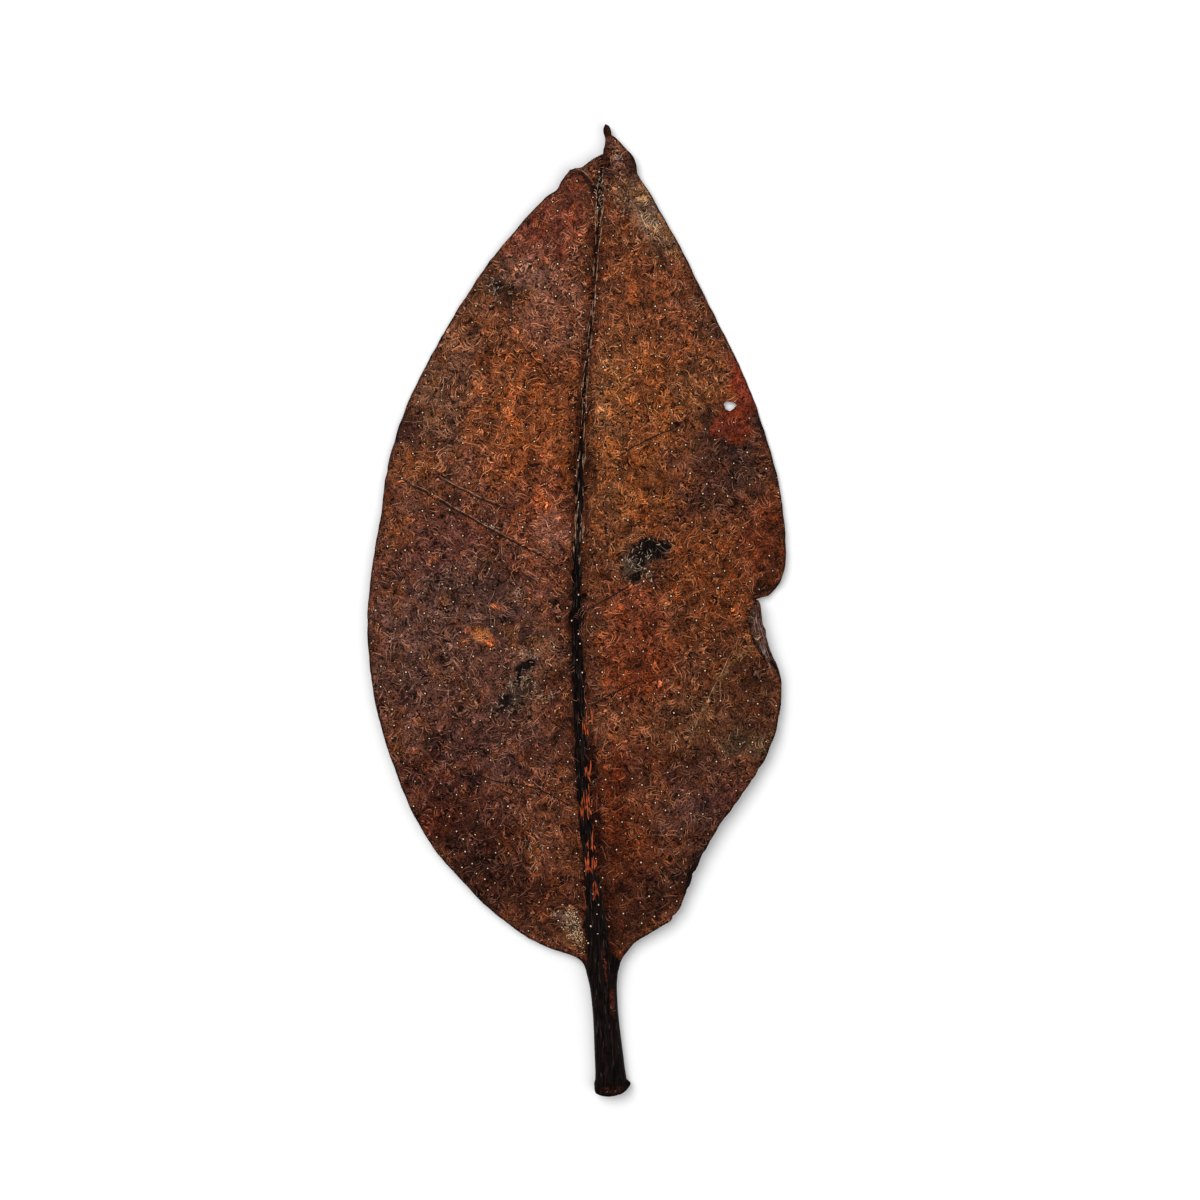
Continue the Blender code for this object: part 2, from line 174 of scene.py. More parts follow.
def flat_tree(points: Points) -> kdtree.KDTree:
    """A search tree over flat points."""
    tree = kdtree.KDTree(len(points))
    for k, (x, y) in enumerate(points):
        tree.insert((x, y, 0.0), k)
    tree.balance()
    return tree


def distance_to(tree: kdtree.KDTree, points: Points) -> Values:
    """Distance from each flat point to the nearest point of a search tree."""
    return np.array([tree.find((x, y, 0.0))[2] for x, y in points])


def resampled(line: Points, spacing: float, closed: bool = False) -> Points:
    """Points along straight runs between the given points.

    Args:
        line: Points in order.
        spacing: Distance between the new points.
        closed: Whether the line returns to its first point, which isn't repeated at the end.

    Returns:
        The new points.
    """
    run = np.vstack([line, line[:1]]) if closed else line
    length = np.concatenate([[0], np.cumsum(np.hypot(*np.diff(run, axis=0).T))])
    count = max(2, round(length[-1] / spacing))
    marks = np.linspace(0, length[-1], count + 1)[: count if closed else count + 1]
    return np.column_stack([np.interp(marks, length, run[:, 0]), np.interp(marks, length, run[:, 1])])


def smooth_path(points: Path, spacing: float) -> Points:
    """Points about spacing apart on a Catmull-Rom curve through the given points."""
    given = np.array(points, dtype=float)
    ends = np.vstack([2 * given[0] - given[1], given, 2 * given[-1] - given[-2]])
    t = np.linspace(0, 1, 12, endpoint=False)[:, None]
    pieces = []
    for a, b, c, d in zip(ends, ends[1:], ends[2:], ends[3:]):
        cubic = (2 * a - 5 * b + 4 * c - d) * t**2 + (3 * b - a - 3 * c + d) * t**3
        pieces.append(0.5 * (2 * b + (c - a) * t + cubic))
    return resampled(np.vstack(pieces + [given[-1:]]), spacing)


def inside(ring: Points, points: Points) -> Values:
    """Whether each point lies inside a closed ring, by counting crossings of a line to its right."""
    x, y = points[:, 0], points[:, 1]
    within = np.zeros(len(points), dtype=bool)
    for (ax, ay), (bx, by) in zip(ring, np.roll(ring, -1, axis=0)):
        if ay != by:
            within ^= ((ay > y) != (by > y)) & (x < (bx - ax) * (y - ay) / (by - ay) + ax)
    return within


@dataclass(frozen=True)
class Stations:
    """A smooth value along the leaf, given at a few places from the cut end to the tip."""

    marks: Path

    def at(self, places: Values) -> Values:
        """Values at the given places, held beyond the first and the last."""
        knots, values = np.array(self.marks, dtype=float).T
        slopes = np.gradient(values, knots)
        held = np.clip(places, knots[0], knots[-1])
        k = np.clip(np.searchsorted(knots, held) - 1, 0, len(knots) - 2)
        span = knots[k + 1] - knots[k]
        t = (held - knots[k]) / span
        rise = values[k + 1] - values[k]
        bend = (1 - t) * (slopes[k] * span - rise) - t * (slopes[k + 1] * span - rise)
        return values[k] + t * rise + t * (1 - t) * bend


@dataclass(frozen=True)
class Midrib:
    """Midrib and leaf stalk: where they run and how wide, high and deep they are."""

    stalk_top_y: float = -52.5
    stalk_end_y: float = -68.2
    tip_y: float = 70.6
    middle: Stations = Stations((
        (-70.5, 5.2), (-68.2, 5.0), (-60.3, 4.35), (-52.5, 3.7), (-42.0, 2.6), (-27.6, 1.2),
        (-13.0, 0.5), (1.5, 0.1), (16.0, 0.5), (30.5, 1.1), (45.0, 2.5), (59.5, 3.4), (70.6, 4.2),
    ))
    half_width: Stations = Stations((
        (-70.5, 2.6), (-68.2, 2.2), (-64.4, 1.98), (-57.0, 1.78), (-54.5, 1.9), (-52.5, 2.2),
        (-49.0, 2.3), (-42.0, 1.9), (-28.0, 1.5), (0.0, 1.15), (40.0, 0.85), (70.6, 0.45),
    ))
    below: Stations = Stations((
        (-70.5, 1.25), (-62.0, 1.2), (-50.0, 1.35), (-35.0, 1.15), (0.0, 0.85), (40.0, 0.55), (70.6, 0.2),
    ))
    above: Stations = Stations((
        (-70.5, 1.05), (-56.0, 1.0), (-50.0, 0.7), (-42.0, 0.3), (-32.0, 0.0), (70.6, 0.0),
    ))
    groove_half_width: Stations = Stations((
        (-50.0, 0.9), (-20.0, 0.8), (0.0, 0.55), (30.0, 0.45), (70.6, 0.3),
    ))
    groove_depth: Stations = Stations((
        (-54.0, 0.0), (-46.0, 0.15), (-20.0, 0.34), (0.0, 0.34), (50.0, 0.26), (70.6, 0.1),
    ))
    black_half_width: Stations = Stations((
        (-52.0, 2.2), (-46.0, 1.7), (-42.0, 1.35), (-35.0, 1.05), (-22.0, 1.00), (-9.0, 0.85),
        (1.5, 0.66), (16.0, 0.54), (30.0, 0.42), (45.0, 0.34), (59.5, 0.40), (66.0, 0.20),
    ))
    black_strength: Stations = Stations((
        (-30.0, 1.0), (0.0, 0.95), (15.0, 0.88), (30.0, 0.74), (45.0, 0.56), (60.0, 0.64),
    ))
    shaded_flank_half_width: Stations = Stations((
        (-50.0, 3.8), (-42.0, 3.0), (-30.0, 2.4), (-10.0, 2.1), (10.0, 2.0), (25.0, 1.7), (60.0, 1.2),
    ))
    ridges: int = 12
    ridge_height: float = 0.09

    def offset(self, points: Points) -> Values:
        """Distance of flat points to the right of the midrib's middle."""
        return points[:, 0] - self.middle.at(points[:, 1])

    def columns(self, spacing: float) -> Points:
        """Points in rows across the midrib and the stalk, closer towards their edges."""
        rows = np.arange(self.stalk_end_y - 1.6, self.tip_y - 1.2, spacing)
        steps = np.sin(np.radians(np.arange(-90, 91, 15)))
        middle, half = self.middle.at(rows), self.half_width.at(rows)
        grid = middle[:, None] + half[:, None] * steps[None, :]
        return np.column_stack([grid.ravel(), np.repeat(rows, len(steps))])


@dataclass(frozen=True)
class FoldedStrip:
    """Strip of the right margin, below the tear, that is folded over on to the upper face."""

    line: Stations = Stations((
        (-10.8, 29.7), (-9.2, 28.9), (-7.3, 27.7), (-4.4, 26.6), (-1.5, 25.9), (1.5, 25.6),
    ))
    top_y: float = 1.5
    bottom_y: float = -10.8
    radius: float = 0.64
    columns: int = 14
    row_spacing: float = 0.28

    def beyond(self, points: Points) -> Values:
        """How far each flat point lies past the fold line."""
        x, y = points.T
        past = np.clip(x - self.line.at(y), 0, None)
        return np.where((y < self.top_y) & (y > self.bottom_y), past, 0.0)

    def grid(self) -> Points:
        """Flat points close enough together for the tight curl."""
        rows = np.arange(self.bottom_y + self.row_spacing, self.top_y - 0.2, self.row_spacing)
        steps = math.pi * self.radius * np.arange(self.columns + 1) / self.columns
        grid = self.line.at(rows)[:, None] + steps[None, :]
        return np.column_stack([grid.ravel(), np.repeat(rows, len(steps))])

    def bend(self, points: Points, height: Values) -> Points:
        """Places in space of the middle sheet, with the strip curled over."""
        x, y = points.T
        beyond = self.beyond(points)
        half_turn = math.pi * self.radius
        angle = np.minimum(beyond, half_turn) / self.radius
        shift = self.radius * np.sin(angle) - np.clip(beyond - half_turn, 0, None)
        return np.column_stack([x - beyond + shift, y, height + self.radius * (1 - np.cos(angle))])


@dataclass(frozen=True)
class SideVeins:
    """Side veins that leave the midrib by turns left and right and rise outward to the margin."""

    pairs: int = 11
    first_y: float = -42.0
    spacing: float = 9.3
    stagger: float = 0.22
    rise: float = 0.50
    arch: float = 0.010
    start: float = 1.1
    step: float = 0.4
    most_steps: int = 90
    fewest_points: int = 4
    start_play: float = 1.0
    rise_play: float = 0.05
    margin_gap: float = 1.4
    groove: float = 0.085
    ridge: float = 0.24
    width: float = 0.42

    def lines(self, midrib: Midrib, ring: Points) -> list[Points]:
        """Points along each side vein.

        Args:
            midrib: Midrib that the veins leave.
            ring: Outline that they stop short of.

        Returns:
            One array of flat points for each vein.
        """
        dice = random.Random(SEED)
        margin = flat_tree(resampled(ring, 0.5, closed=True))
        lines = []
        for pair in range(self.pairs):
            for side in (-1, 1):
                start_y = self.first_y + self.spacing * (pair + self.stagger * side)
                start_y += dice.uniform(-self.start_play, self.start_play)
                rise = self.rise + dice.uniform(-self.rise_play, self.rise_play)
                steps = self.step * np.arange(self.most_steps)
                reach = midrib.half_width.at(start_y) + self.start + steps
                line = np.column_stack([
                    midrib.middle.at(start_y) + side * reach,
                    start_y + rise * reach + self.arch * reach**2,
                ])
                clear = inside(ring, line) & (distance_to(margin, line) > self.margin_gap)
                count = len(line) if clear.all() else int(np.argmin(clear))
                if count > self.fewest_points:
                    lines.append(line[:count])
        return lines


@dataclass(frozen=True)
class LeafPattern:
    """The leaf unrolled flat: outline clockwise from the tip, hole, and the triangles that fill it."""

    midrib: Midrib = Midrib()
    strip: FoldedStrip = FoldedStrip()
    veins: SideVeins = SideVeins()
    right_tip: Path = (
        (4.2, 70.6), (4.65, 70.3), (4.95, 69.5), (5.0, 69.0), (5.7, 68.5), (6.8, 67.3), (8.1, 65.9),
        (8.6, 64.6), (8.7, 63.5),
    )
    right_shoulder: Path = (
        (8.7, 63.5), (11.2, 59.5), (15.3, 52.2), (18.9, 45.0), (23.3, 36.3), (26.3, 29.0),
        (28.9, 20.3), (30.1, 13.0), (30.3, 7.3), (29.7, 4.4), (28.1, 2.3), (26.9, 1.9), (25.6, 1.5),
    )
    folded_strip: Path = (
        (25.6, 1.5), (27.4, 1.1), (28.6, -0.6), (29.0, -2.2), (29.6, -4.2), (29.7, -5.6),
        (29.5, -6.8), (29.4, -8.2), (29.5, -9.5), (29.7, -10.8),
    )
    right_base: Path = (
        (29.7, -10.8), (29.5, -14.0), (28.8, -17.5), (27.2, -21.8), (25.8, -24.0), (22.3, -29.0),
        (20.2, -31.9), (17.2, -37.7), (16.0, -40.6), (14.7, -43.5), (13.6, -45.0), (11.4, -46.4),
        (8.8, -47.9), (7.5, -49.3), (6.4, -50.8), (5.9, -52.5),
    )
    cut_end: Path = (
        (7.2, -68.2), (7.8, -68.9), (7.2, -69.7), (6.3, -70.2), (5.1, -70.5), (3.6, -70.4),
        (2.75, -70.1), (2.6, -69.3), (2.8, -68.2),
    )
    left_side: Path = (
        (1.5, -52.5), (0.8, -50.9), (-0.8, -50.0), (-3.0, -49.3), (-6.3, -47.9), (-8.6, -46.4),
        (-12.4, -43.5), (-15.4, -40.6), (-20.5, -34.8), (-23.9, -29.0), (-26.3, -23.2),
        (-28.6, -16.0), (-30.0, -8.0), (-30.3, -1.0), (-29.7, 5.8), (-28.3, 14.5), (-27.7, 19.5),
        (-26.0, 26.1), (-23.7, 31.9), (-19.1, 40.6), (-13.6, 49.3), (-8.9, 55.1), (-4.9, 59.5),
        (-2.9, 61.0), (-2.2, 62.3), (-0.9, 63.9),
    )
    left_tip: Path = (
        (-0.9, 63.9), (0.6, 64.15), (1.3, 64.6), (2.3, 65.4), (3.4, 66.0), (3.85, 66.3), (3.9, 66.9),
        (4.1, 67.5), (4.2, 68.5), (3.98, 69.3), (3.95, 70.0), (4.2, 70.6),
    )
    nicks: tuple[tuple[float, float, float, float], ...] = (
        (16.9, -38.2, 0.45, 0.28), (15.9, -40.4, 0.40, 0.22), (14.1, -44.5, 0.35, 0.30),
        (18.5, -35.4, 0.60, 0.20), (-28.0, 20.0, 0.50, 0.16), (26.6, -23.2, 0.50, 0.18),
    )
    hole_centre: tuple[float, float] = (22.3, 29.7)
    hole_radii: tuple[float, float] = (0.98, 0.75)
    hole_sides: int = 28
    margin_spacing: float = 0.36
    fine_spacing: float = 0.24
    inset: float = 0.26
    fill_spacing: float = 0.42
    fill_jitter: float = 0.05
    fill_clearance: float = 0.24
    inset_clearance: float = 0.234
    row_clearance: float = 0.12
    kept_share: float = 0.8
    edge_spacing: float = 0.12
    hole_edge_spacing: float = 0.1
    merge_distance: float = 1e-5
    ragged_length: float = 1.67
    fine_ragged_length: float = 0.5
    fine_ragged_share: float = 0.35

    def stalk_side(self, side: int) -> Points:
        """Points down the right side of the leaf stalk, or up its left side."""
        y = np.arange(self.midrib.stalk_top_y, self.midrib.stalk_end_y, -self.margin_spacing)
        y = np.append(y[:-1], self.midrib.stalk_end_y)
        line = np.column_stack([self.midrib.middle.at(y) + side * self.midrib.half_width.at(y), y])
        return line if side > 0 else line[::-1]

    def ring(self) -> Points:
        """The closed outline, its edge ragged and nicked, without a repeated last point."""
        stretches = (
            (smooth_path(self.right_tip, self.fine_spacing), 0.03),
            (smooth_path(self.right_shoulder, self.margin_spacing), 0.10),
            (smooth_path(self.folded_strip, self.fine_spacing), 0.03),
            (smooth_path(self.right_base, self.margin_spacing), 0.14),
            (self.stalk_side(1), 0.0),
            (smooth_path(self.cut_end, self.fine_spacing), 0.08),
            (self.stalk_side(-1), 0.0),
            (smooth_path(self.left_side, self.margin_spacing), 0.10),
            (smooth_path(self.left_tip, self.fine_spacing), 0.03),
        )
        kept = []
        for path, ragged in stretches:
            run = np.gradient(path, axis=0)
            outward = np.column_stack([-run[:, 1], run[:, 0]]) / np.hypot(run[:, 0], run[:, 1])[:, None]
            coarse = noise_field(path, self.ragged_length, SEED)
            fine = noise_field(path, self.fine_ragged_length, SEED + 1)
            shift = ragged * coarse + self.fine_ragged_share * ragged * fine
            for x, y, reach, depth in self.nicks:
                shift -= depth * np.exp(-(((path[:, 0] - x) ** 2 + (path[:, 1] - y) ** 2) / reach**2))
            shift[0] = 0.0
            kept.append((path + outward * shift[:, None])[:-1])
        return np.vstack(kept)

    def hole(self) -> Points:
        """A slightly uneven ring around the hole."""
        angle = 2 * math.pi * np.arange(self.hole_sides) / self.hole_sides
        uneven = 1 + 0.10 * np.sin(3 * angle + 0.6) + 0.05 * np.sin(7 * angle)
        return np.column_stack([
            self.hole_centre[0] + self.hole_radii[0] * uneven * np.cos(angle),
            self.hole_centre[1] + self.hole_radii[1] * uneven * np.sin(angle),
        ])

    def inset_line(self, ring: Points) -> Points:
        """Points just inside the outline, for the rounding of its edge."""
        run = np.roll(ring, -1, axis=0) - np.roll(ring, 1, axis=0)
        inward = np.column_stack([run[:, 1], -run[:, 0]]) / np.hypot(run[:, 0], run[:, 1])[:, None]
        return ring + self.inset * inward

    def fill(self, ring: Points, placed: Points) -> Points:
        """A jittered triangular lattice inside the outline, clear of the points already placed."""
        dice = np.random.default_rng(SEED)
        row_height = self.fill_spacing * math.sqrt(3) / 2
        most_rows = math.ceil(self.midrib.tip_y / row_height)
        rows = np.arange(-most_rows, most_rows + 1)
        reach = math.ceil(np.abs(ring[:, 0]).max() / self.fill_spacing)
        columns = np.arange(-reach - 1, reach + 1)
        x = (columns[None, :] + 0.5 * (rows[:, None] % 2)) * self.fill_spacing
        y = np.broadcast_to(rows[:, None] * row_height, x.shape)
        lattice = np.column_stack([x.ravel(), y.ravel()])
        lattice = lattice + dice.uniform(-self.fill_jitter, self.fill_jitter, lattice.shape)
        lattice = lattice[inside(ring, lattice)]
        return lattice[distance_to(flat_tree(placed), lattice) > self.fill_clearance]

    def split(self) -> "FlatLeaf":
        """Split the pattern into triangles.

        Returns:
            The points and triangles, with the lines that the relief and the colours follow.
        """
        ring = self.ring()
        hole = self.hole()
        veins = self.veins.lines(self.midrib, ring)
        margin = flat_tree(resampled(ring, self.edge_spacing, closed=True))
        hole_edge = flat_tree(resampled(hole, self.hole_edge_spacing, closed=True))
        points = [ring, hole]
        edges = [(k, (k + 1) % len(ring)) for k in range(len(ring))]
        edges += [(len(ring) + k, len(ring) + (k + 1) % len(hole)) for k in range(len(hole))]
        placed = np.vstack(points)
        for loose, clearance in (
            (self.inset_line(ring), self.inset_clearance),
            (self.strip.grid(), self.row_clearance),
            (self.midrib.columns(self.fill_spacing), self.row_clearance),
            (np.vstack(veins), self.fill_clearance),
        ):
            from_margin = min(clearance, self.inset_clearance)
            clear = inside(ring, loose) & (distance_to(margin, loose) > from_margin)
            clear &= ~inside(hole, loose) & (distance_to(hole_edge, loose) > self.fill_clearance)
            loose = loose[clear]
            loose = loose[distance_to(flat_tree(placed), loose) > clearance * self.kept_share]
            points.append(loose)
            placed = np.vstack(points)
        fill = self.fill(ring, placed)
        points.append(fill[~inside(hole, fill)])
        flat = [Vector(point) for point in np.vstack(points)]
        coords, _, faces, _, _, _ = delaunay_2d_cdt(flat, edges, [], 0, self.merge_distance, False)
        places = np.array([tuple(point) for point in coords])
        corners = np.array([tuple(face) for face in faces])
        middles = places[corners].mean(axis=1)
        corners = corners[inside(ring, middles) & ~inside(hole, middles)]
        return FlatLeaf(places, corners, flat_tree(np.vstack(veins)), margin, hole_edge)


@dataclass(frozen=True)
class FlatLeaf:
    """The split pattern with search trees for its veins, its margin and the edge of its hole."""

    places: Points
    triangles: np.ndarray
    veins: kdtree.KDTree
    margin: kdtree.KDTree
    hole_edge: kdtree.KDTree

    def rim(self) -> list[list[int]]:
        """Closed loops of points around the outline and the hole, in the triangles' own direction."""
        sides = {(int(a), int(b)) for face in self.triangles for a, b in zip(face, np.roll(face, -1))}
        following = {a: b for a, b in sides if (b, a) not in sides}
        loops = []
        while following:
            start = min(following)
            loop = [start]
            while (ahead := following.pop(loop[-1])) != start:
                loop.append(ahead)
            loops.append(loop)
        return loops


@dataclass(frozen=True)
class Crease:
    """A line on the upper face where the leaf is cracked or bent, with a tint: dark on sunken creases as
    painted shade, pale on raised ones as a painted highlight.
    """

    path: Path
    rise: float
    width: float
    tint: str
    strength: float


@dataclass(frozen=True)
class LeafLie:
    """How the middle sheet lies above the ground, as values along the leaf and small local shapes."""

    spine: Stations = Stations((
        (-70.5, 1.42), (-62.0, 1.50), (-52.0, 2.10), (-40.0, 2.70), (-20.0, 3.05), (10.0, 3.35),
        (37.0, 3.50), (55.0, 2.95), (64.0, 2.20), (70.6, 1.70),
    ))
    left_margin: Stations = Stations((
        (-52.0, 2.30), (-42.0, 2.25), (-28.0, 2.10), (-8.0, 1.80), (10.0, 1.40), (25.0, 0.90),
        (36.5, 0.46), (48.0, 0.85), (58.0, 1.50), (66.0, 2.00),
    ))
    right_margin: Stations = Stations((
        (-52.0, 2.40), (-46.0, 2.70), (-34.0, 3.10), (-22.0, 2.90), (-10.0, 2.30), (5.0, 1.70),
        (22.0, 1.00), (37.5, 0.52), (48.0, 0.95), (58.0, 1.40), (66.0, 1.90),
    ))
    left_reach: Stations = Stations((
        (-52.0, 1.4), (-48.0, -6.0), (-40.0, -16.0), (-29.0, -23.9), (-16.0, -28.6), (-1.0, -30.3),
        (14.5, -28.3), (31.9, -23.7), (49.3, -13.6), (61.0, -2.9), (66.0, 2.0), (70.6, 3.9),
    ))
    right_reach: Stations = Stations((
        (-52.0, 5.8), (-47.0, 10.3), (-40.0, 16.2), (-29.0, 22.3), (-20.0, 27.8), (-8.0, 30.0),
        (7.3, 30.3), (20.3, 28.9), (36.3, 23.3), (52.2, 15.3), (63.5, 8.7), (70.6, 4.9),
    ))
    spread_power: float = 1.7
    blade_fade: float = 8.0
    least_reach: float = 1.0
    past_margin: float = 1.05
    edge_turn_width: float = 1.4
    edge_turn_drop: float = 0.30
    wave_length: float = 17.0
    wave_height: float = 0.35
    wave_margin: float = 6.0
    wave_at_margin: float = 0.15
    wrinkle_length: float = 3.6
    wrinkle_height: float = 0.09
    bumps: tuple[tuple[float, float, float, float], ...] = (
        (28.2, 3.0, 1.7, -0.90), (0.2, 62.6, 1.6, 0.55), (2.6, 62.2, 0.9, -0.45),
        (22.6, -22.9, 1.8, 0.35), (20.5, -12.0, 2.4, 0.30), (-14.0, 6.0, 6.0, 0.25),
        (12.0, 24.0, 6.0, 0.25), (22.3, 29.7, 3.2, -0.50),
    )

    def height(self, pattern: LeafPattern, leaf: FlatLeaf) -> Values:
        """Height of the middle sheet over the ground at the pattern's points."""
        points = leaf.places
        y = points[:, 1]
        middle = pattern.midrib.middle.at(y)
        offset = points[:, 0] - middle
        left = np.maximum(middle - self.left_reach.at(y), self.least_reach)
        right = np.maximum(self.right_reach.at(y) - middle, self.least_reach)
        share = np.clip(np.where(offset < 0, -offset / left, offset / right), 0, self.past_margin)
        spine = self.spine.at(y)
        edge = np.where(offset < 0, self.left_margin.at(y), self.right_margin.at(y))
        height = spine + (edge - spine) * share**self.spread_power
        on_blade = np.clip((y - pattern.midrib.stalk_top_y) / self.blade_fade, 0, 1)
        away = distance_to(leaf.margin, points)
        turned = np.clip(1 - away / self.edge_turn_width, 0, 1) ** 2
        height -= np.where(pattern.strip.beyond(points) > 0, 0, self.edge_turn_drop * turned) * on_blade
        inward = np.clip(away / self.wave_margin, self.wave_at_margin, 1)
        waves = noise_field(points, self.wave_length, SEED) * inward
        wrinkles = noise_field(points, self.wrinkle_length, 2 * SEED)
        height += (self.wave_height * waves + self.wrinkle_height * wrinkles) * on_blade
        for x, bump_y, reach, rise in self.bumps:
            height += rise * np.exp(-((points[:, 0] - x) ** 2 + (y - bump_y) ** 2) / reach**2)
        return np.where(y < pattern.midrib.stalk_top_y, spine, height)


@dataclass(frozen=True)
class LeafRelief:
    """Thickness of the leaf and the fine relief of its two faces."""

    half_thickness: float = 0.36
    edge_share: float = 0.42
    edge_width: float = 0.55
    rim_bulge: float = 0.09
    cut_hollow: float = 0.30
    hole_edge_share: float = 0.16
    hole_edge_width: float = 0.9
    lump_length: float = 1.25
    lump_height: float = 0.075
    crumple_length: float = 2.3
    crumple_height: float = 0.05
    net_cell: float = 2.1
    net_height: float = 0.05
    net_line: float = 0.16
    stalk_blend: float = 3.0
    ridge_fade: float = 8.0
    fibre_height: float = 0.07
    fibre_width: float = 0.32
    skin_border: tuple[float, float] = (0.1, 1.2)
    # Sunken creases take dark tints, painted shade; raised ones take pale tints, painted highlight
    creases: tuple[Crease, ...] = (
        Crease(((16.2, -18.6), (19.3, -13.0), (22.7, -7.3), (25.8, -5.4)), 0.15, 0.30, "#8a6242", 0.55),
        Crease(((21.1, -23.3), (24.0, -22.5), (26.9, -22.2)), -0.20, 0.28, "#24150f", 0.8),
        Crease(((0.7, 63.6), (1.6, 62.6), (2.6, 61.0)), -0.30, 0.36, "#24150f", 0.8),
        Crease(((-0.2, 63.9), (1.3, 63.8), (2.6, 63.0), (3.3, 61.4)), 0.24, 0.16, "#9a7458", 0.6),
        Crease(((-12.9, 35.9), (-12.7, 33.2), (-11.9, 31.4)), -0.10, 0.22, "#20120e", 0.7),
        Crease(((13.4, -38.6), (15.8, -40.9), (17.0, -44.0)), -0.08, 0.30, "#2a1710", 0.5),
        Crease(((17.4, -2.5), (20.6, 3.4), (20.2, 6.0)), -0.07, 0.22, "#2a1710", 0.4),
    )

    def crease_mask(self, crease: Crease, points: Points) -> Values:
        """How strongly each flat point lies on a crease, from 0 to 1."""
        line = flat_tree(smooth_path(crease.path, 0.15))
        return np.exp(-((distance_to(line, points) / crease.width) ** 2))

    def half_body(self, midrib: Midrib, leaf: FlatLeaf) -> Values:
        """Half the thickness beside the midrib: less at the margin and the hole, full on the stalk."""
        from_hole = distance_to(leaf.hole_edge, leaf.places)
        away = np.minimum(distance_to(leaf.margin, leaf.places), from_hole)
        stalk_starts = midrib.stalk_top_y + self.stalk_blend
        on_stalk = np.clip((stalk_starts - leaf.places[:, 1]) / self.stalk_blend, 0, 1)
        edge = self.edge_share + (1 - self.edge_share) * smoothstep(0, self.edge_width, away)
        whole = smoothstep(0, self.hole_edge_width, from_hole)
        worn = self.hole_edge_share + (1 - self.hole_edge_share) * whole
        return self.half_thickness * np.maximum(np.minimum(edge, worn), on_stalk)

    def lengthwise(
        self, midrib: Midrib, points: Points, rounded: Values, near_stalk: Values
    ) -> list[Values]:
        """Heights of the ridges round the stalk and of the fibres along the midrib's upper face.

        Args:
            midrib: Midrib and stalk that carry them.
            points: Flat points.
            rounded: Height of the midrib's round section, from 0 at its sides to 1.
            near_stalk: Share of the stalk, which fades out on the blade.

        Returns:
            The ridges' height and the fibres' height.
        """
        offset = midrib.offset(points)
        around = np.arcsin(np.clip(offset / midrib.half_width.at(points[:, 1]), -1, 1))
        uneven = 0.6 + 0.6 * noise_field(points * (1.0, 0.12), 0.9, 5)
        stalk_ridge = np.cos(midrib.ridges * around + 1.5 * noise_field(points, 6.0, 6)) * uneven
        ridge = midrib.ridge_height * stalk_ridge * near_stalk * np.minimum(rounded * 1.6, 1)
        across = np.abs(offset) / midrib.black_half_width.at(points[:, 1])
        in_rib = np.clip(1 - across**4, 0, 1) * (1 - near_stalk)
        streaks = noise_field(points * (1.0, 0.15), self.fibre_width, 8)
        return [ridge, self.fibre_height * in_rib * streaks]

    def offsets(self, pattern: LeafPattern, leaf: FlatLeaf) -> tuple[Values, Values]:
        """Distances from the middle sheet up to the upper face and down to the lower face."""
        points = leaf.places
        midrib = pattern.midrib
        y = points[:, 1]
        offset = midrib.offset(points)
        rounded = np.sqrt(1 - np.clip(np.abs(offset) / midrib.half_width.at(y), 0, 1) ** 2)
        groove = np.clip(np.abs(offset) / midrib.groove_half_width.at(y), 0, 1)
        half_body = self.half_body(midrib, leaf)
        above = half_body + midrib.above.at(y) * rounded - midrib.groove_depth.at(y) * (1 - groove**2) ** 2
        below = half_body + midrib.below.at(y) * rounded

        near_stalk = np.clip((midrib.stalk_top_y + self.ridge_fade - y) / self.ridge_fade, 0, 1)
        ridge, fibre = self.lengthwise(midrib, points, rounded, near_stalk)
        vein = np.exp(-((distance_to(leaf.veins, points) / pattern.veins.width) ** 2))
        away = np.minimum(distance_to(leaf.margin, points), distance_to(leaf.hole_edge, points))
        on_skin = smoothstep(*self.skin_border, away) * (1 - near_stalk) * (1 - np.clip(rounded * 3, 0, 1))
        lumps = self.lump_height * noise_field(points, self.lump_length, 11)
        crumple = self.crumple_height * np.abs(noise_field(points, self.crumple_length, 12))
        above = above + ridge + fibre - pattern.veins.groove * vein + (lumps - crumple) * on_skin
        for crease in self.creases:
            above += crease.rise * self.crease_mask(crease, points)
        under = self.net_height * self.net(points)
        under += 0.5 * self.lump_height * noise_field(points, self.lump_length, 13)
        below = below + ridge + pattern.veins.ridge * vein + under * on_skin
        return above, below

    def net(self, points: Points) -> Values:
        """Raised net of small veins, 1 on its lines and 0 between them."""
        gaps = []
        for x, y in points:
            distances, _ = noise.voronoi(Vector((x / self.net_cell, y / self.net_cell, 0.3)))
            gaps.append(distances[1] - distances[0])
        return 1 - smoothstep(0.0, self.net_line, np.array(gaps))


@dataclass(frozen=True)
class SoftPatch:
    """A soft-edged oval on the leaf: its middle, radii, turn in degrees, strength and softness."""

    x: float
    y: float
    across: float
    along: float
    turn: float
    strength: float
    softness: float

    def mask(self, points: Points, wander: Points | None = None) -> Values:
        """How much of each flat point the patch covers.

        Args:
            points: Flat points.
            wander: Noise in two columns that bends the patch's edge, as a share of its size.

        Returns:
            Values from 0 outside the patch to 1 in its middle.
        """
        turn = math.radians(self.turn)
        bend = np.zeros_like(points) if wander is None else 0.55 * min(self.across, self.along) * wander
        x, y = (points - (self.x, self.y) + bend).T
        across = (x * math.cos(turn) + y * math.sin(turn)) / self.across
        along = (-x * math.sin(turn) + y * math.cos(turn)) / self.along
        return 1 - smoothstep(1 - self.softness, 1 + self.softness, np.hypot(across, along))


@dataclass(frozen=True)
class Stain(SoftPatch):
    """A soft-edged oval with a colour of its own."""

    tint: str


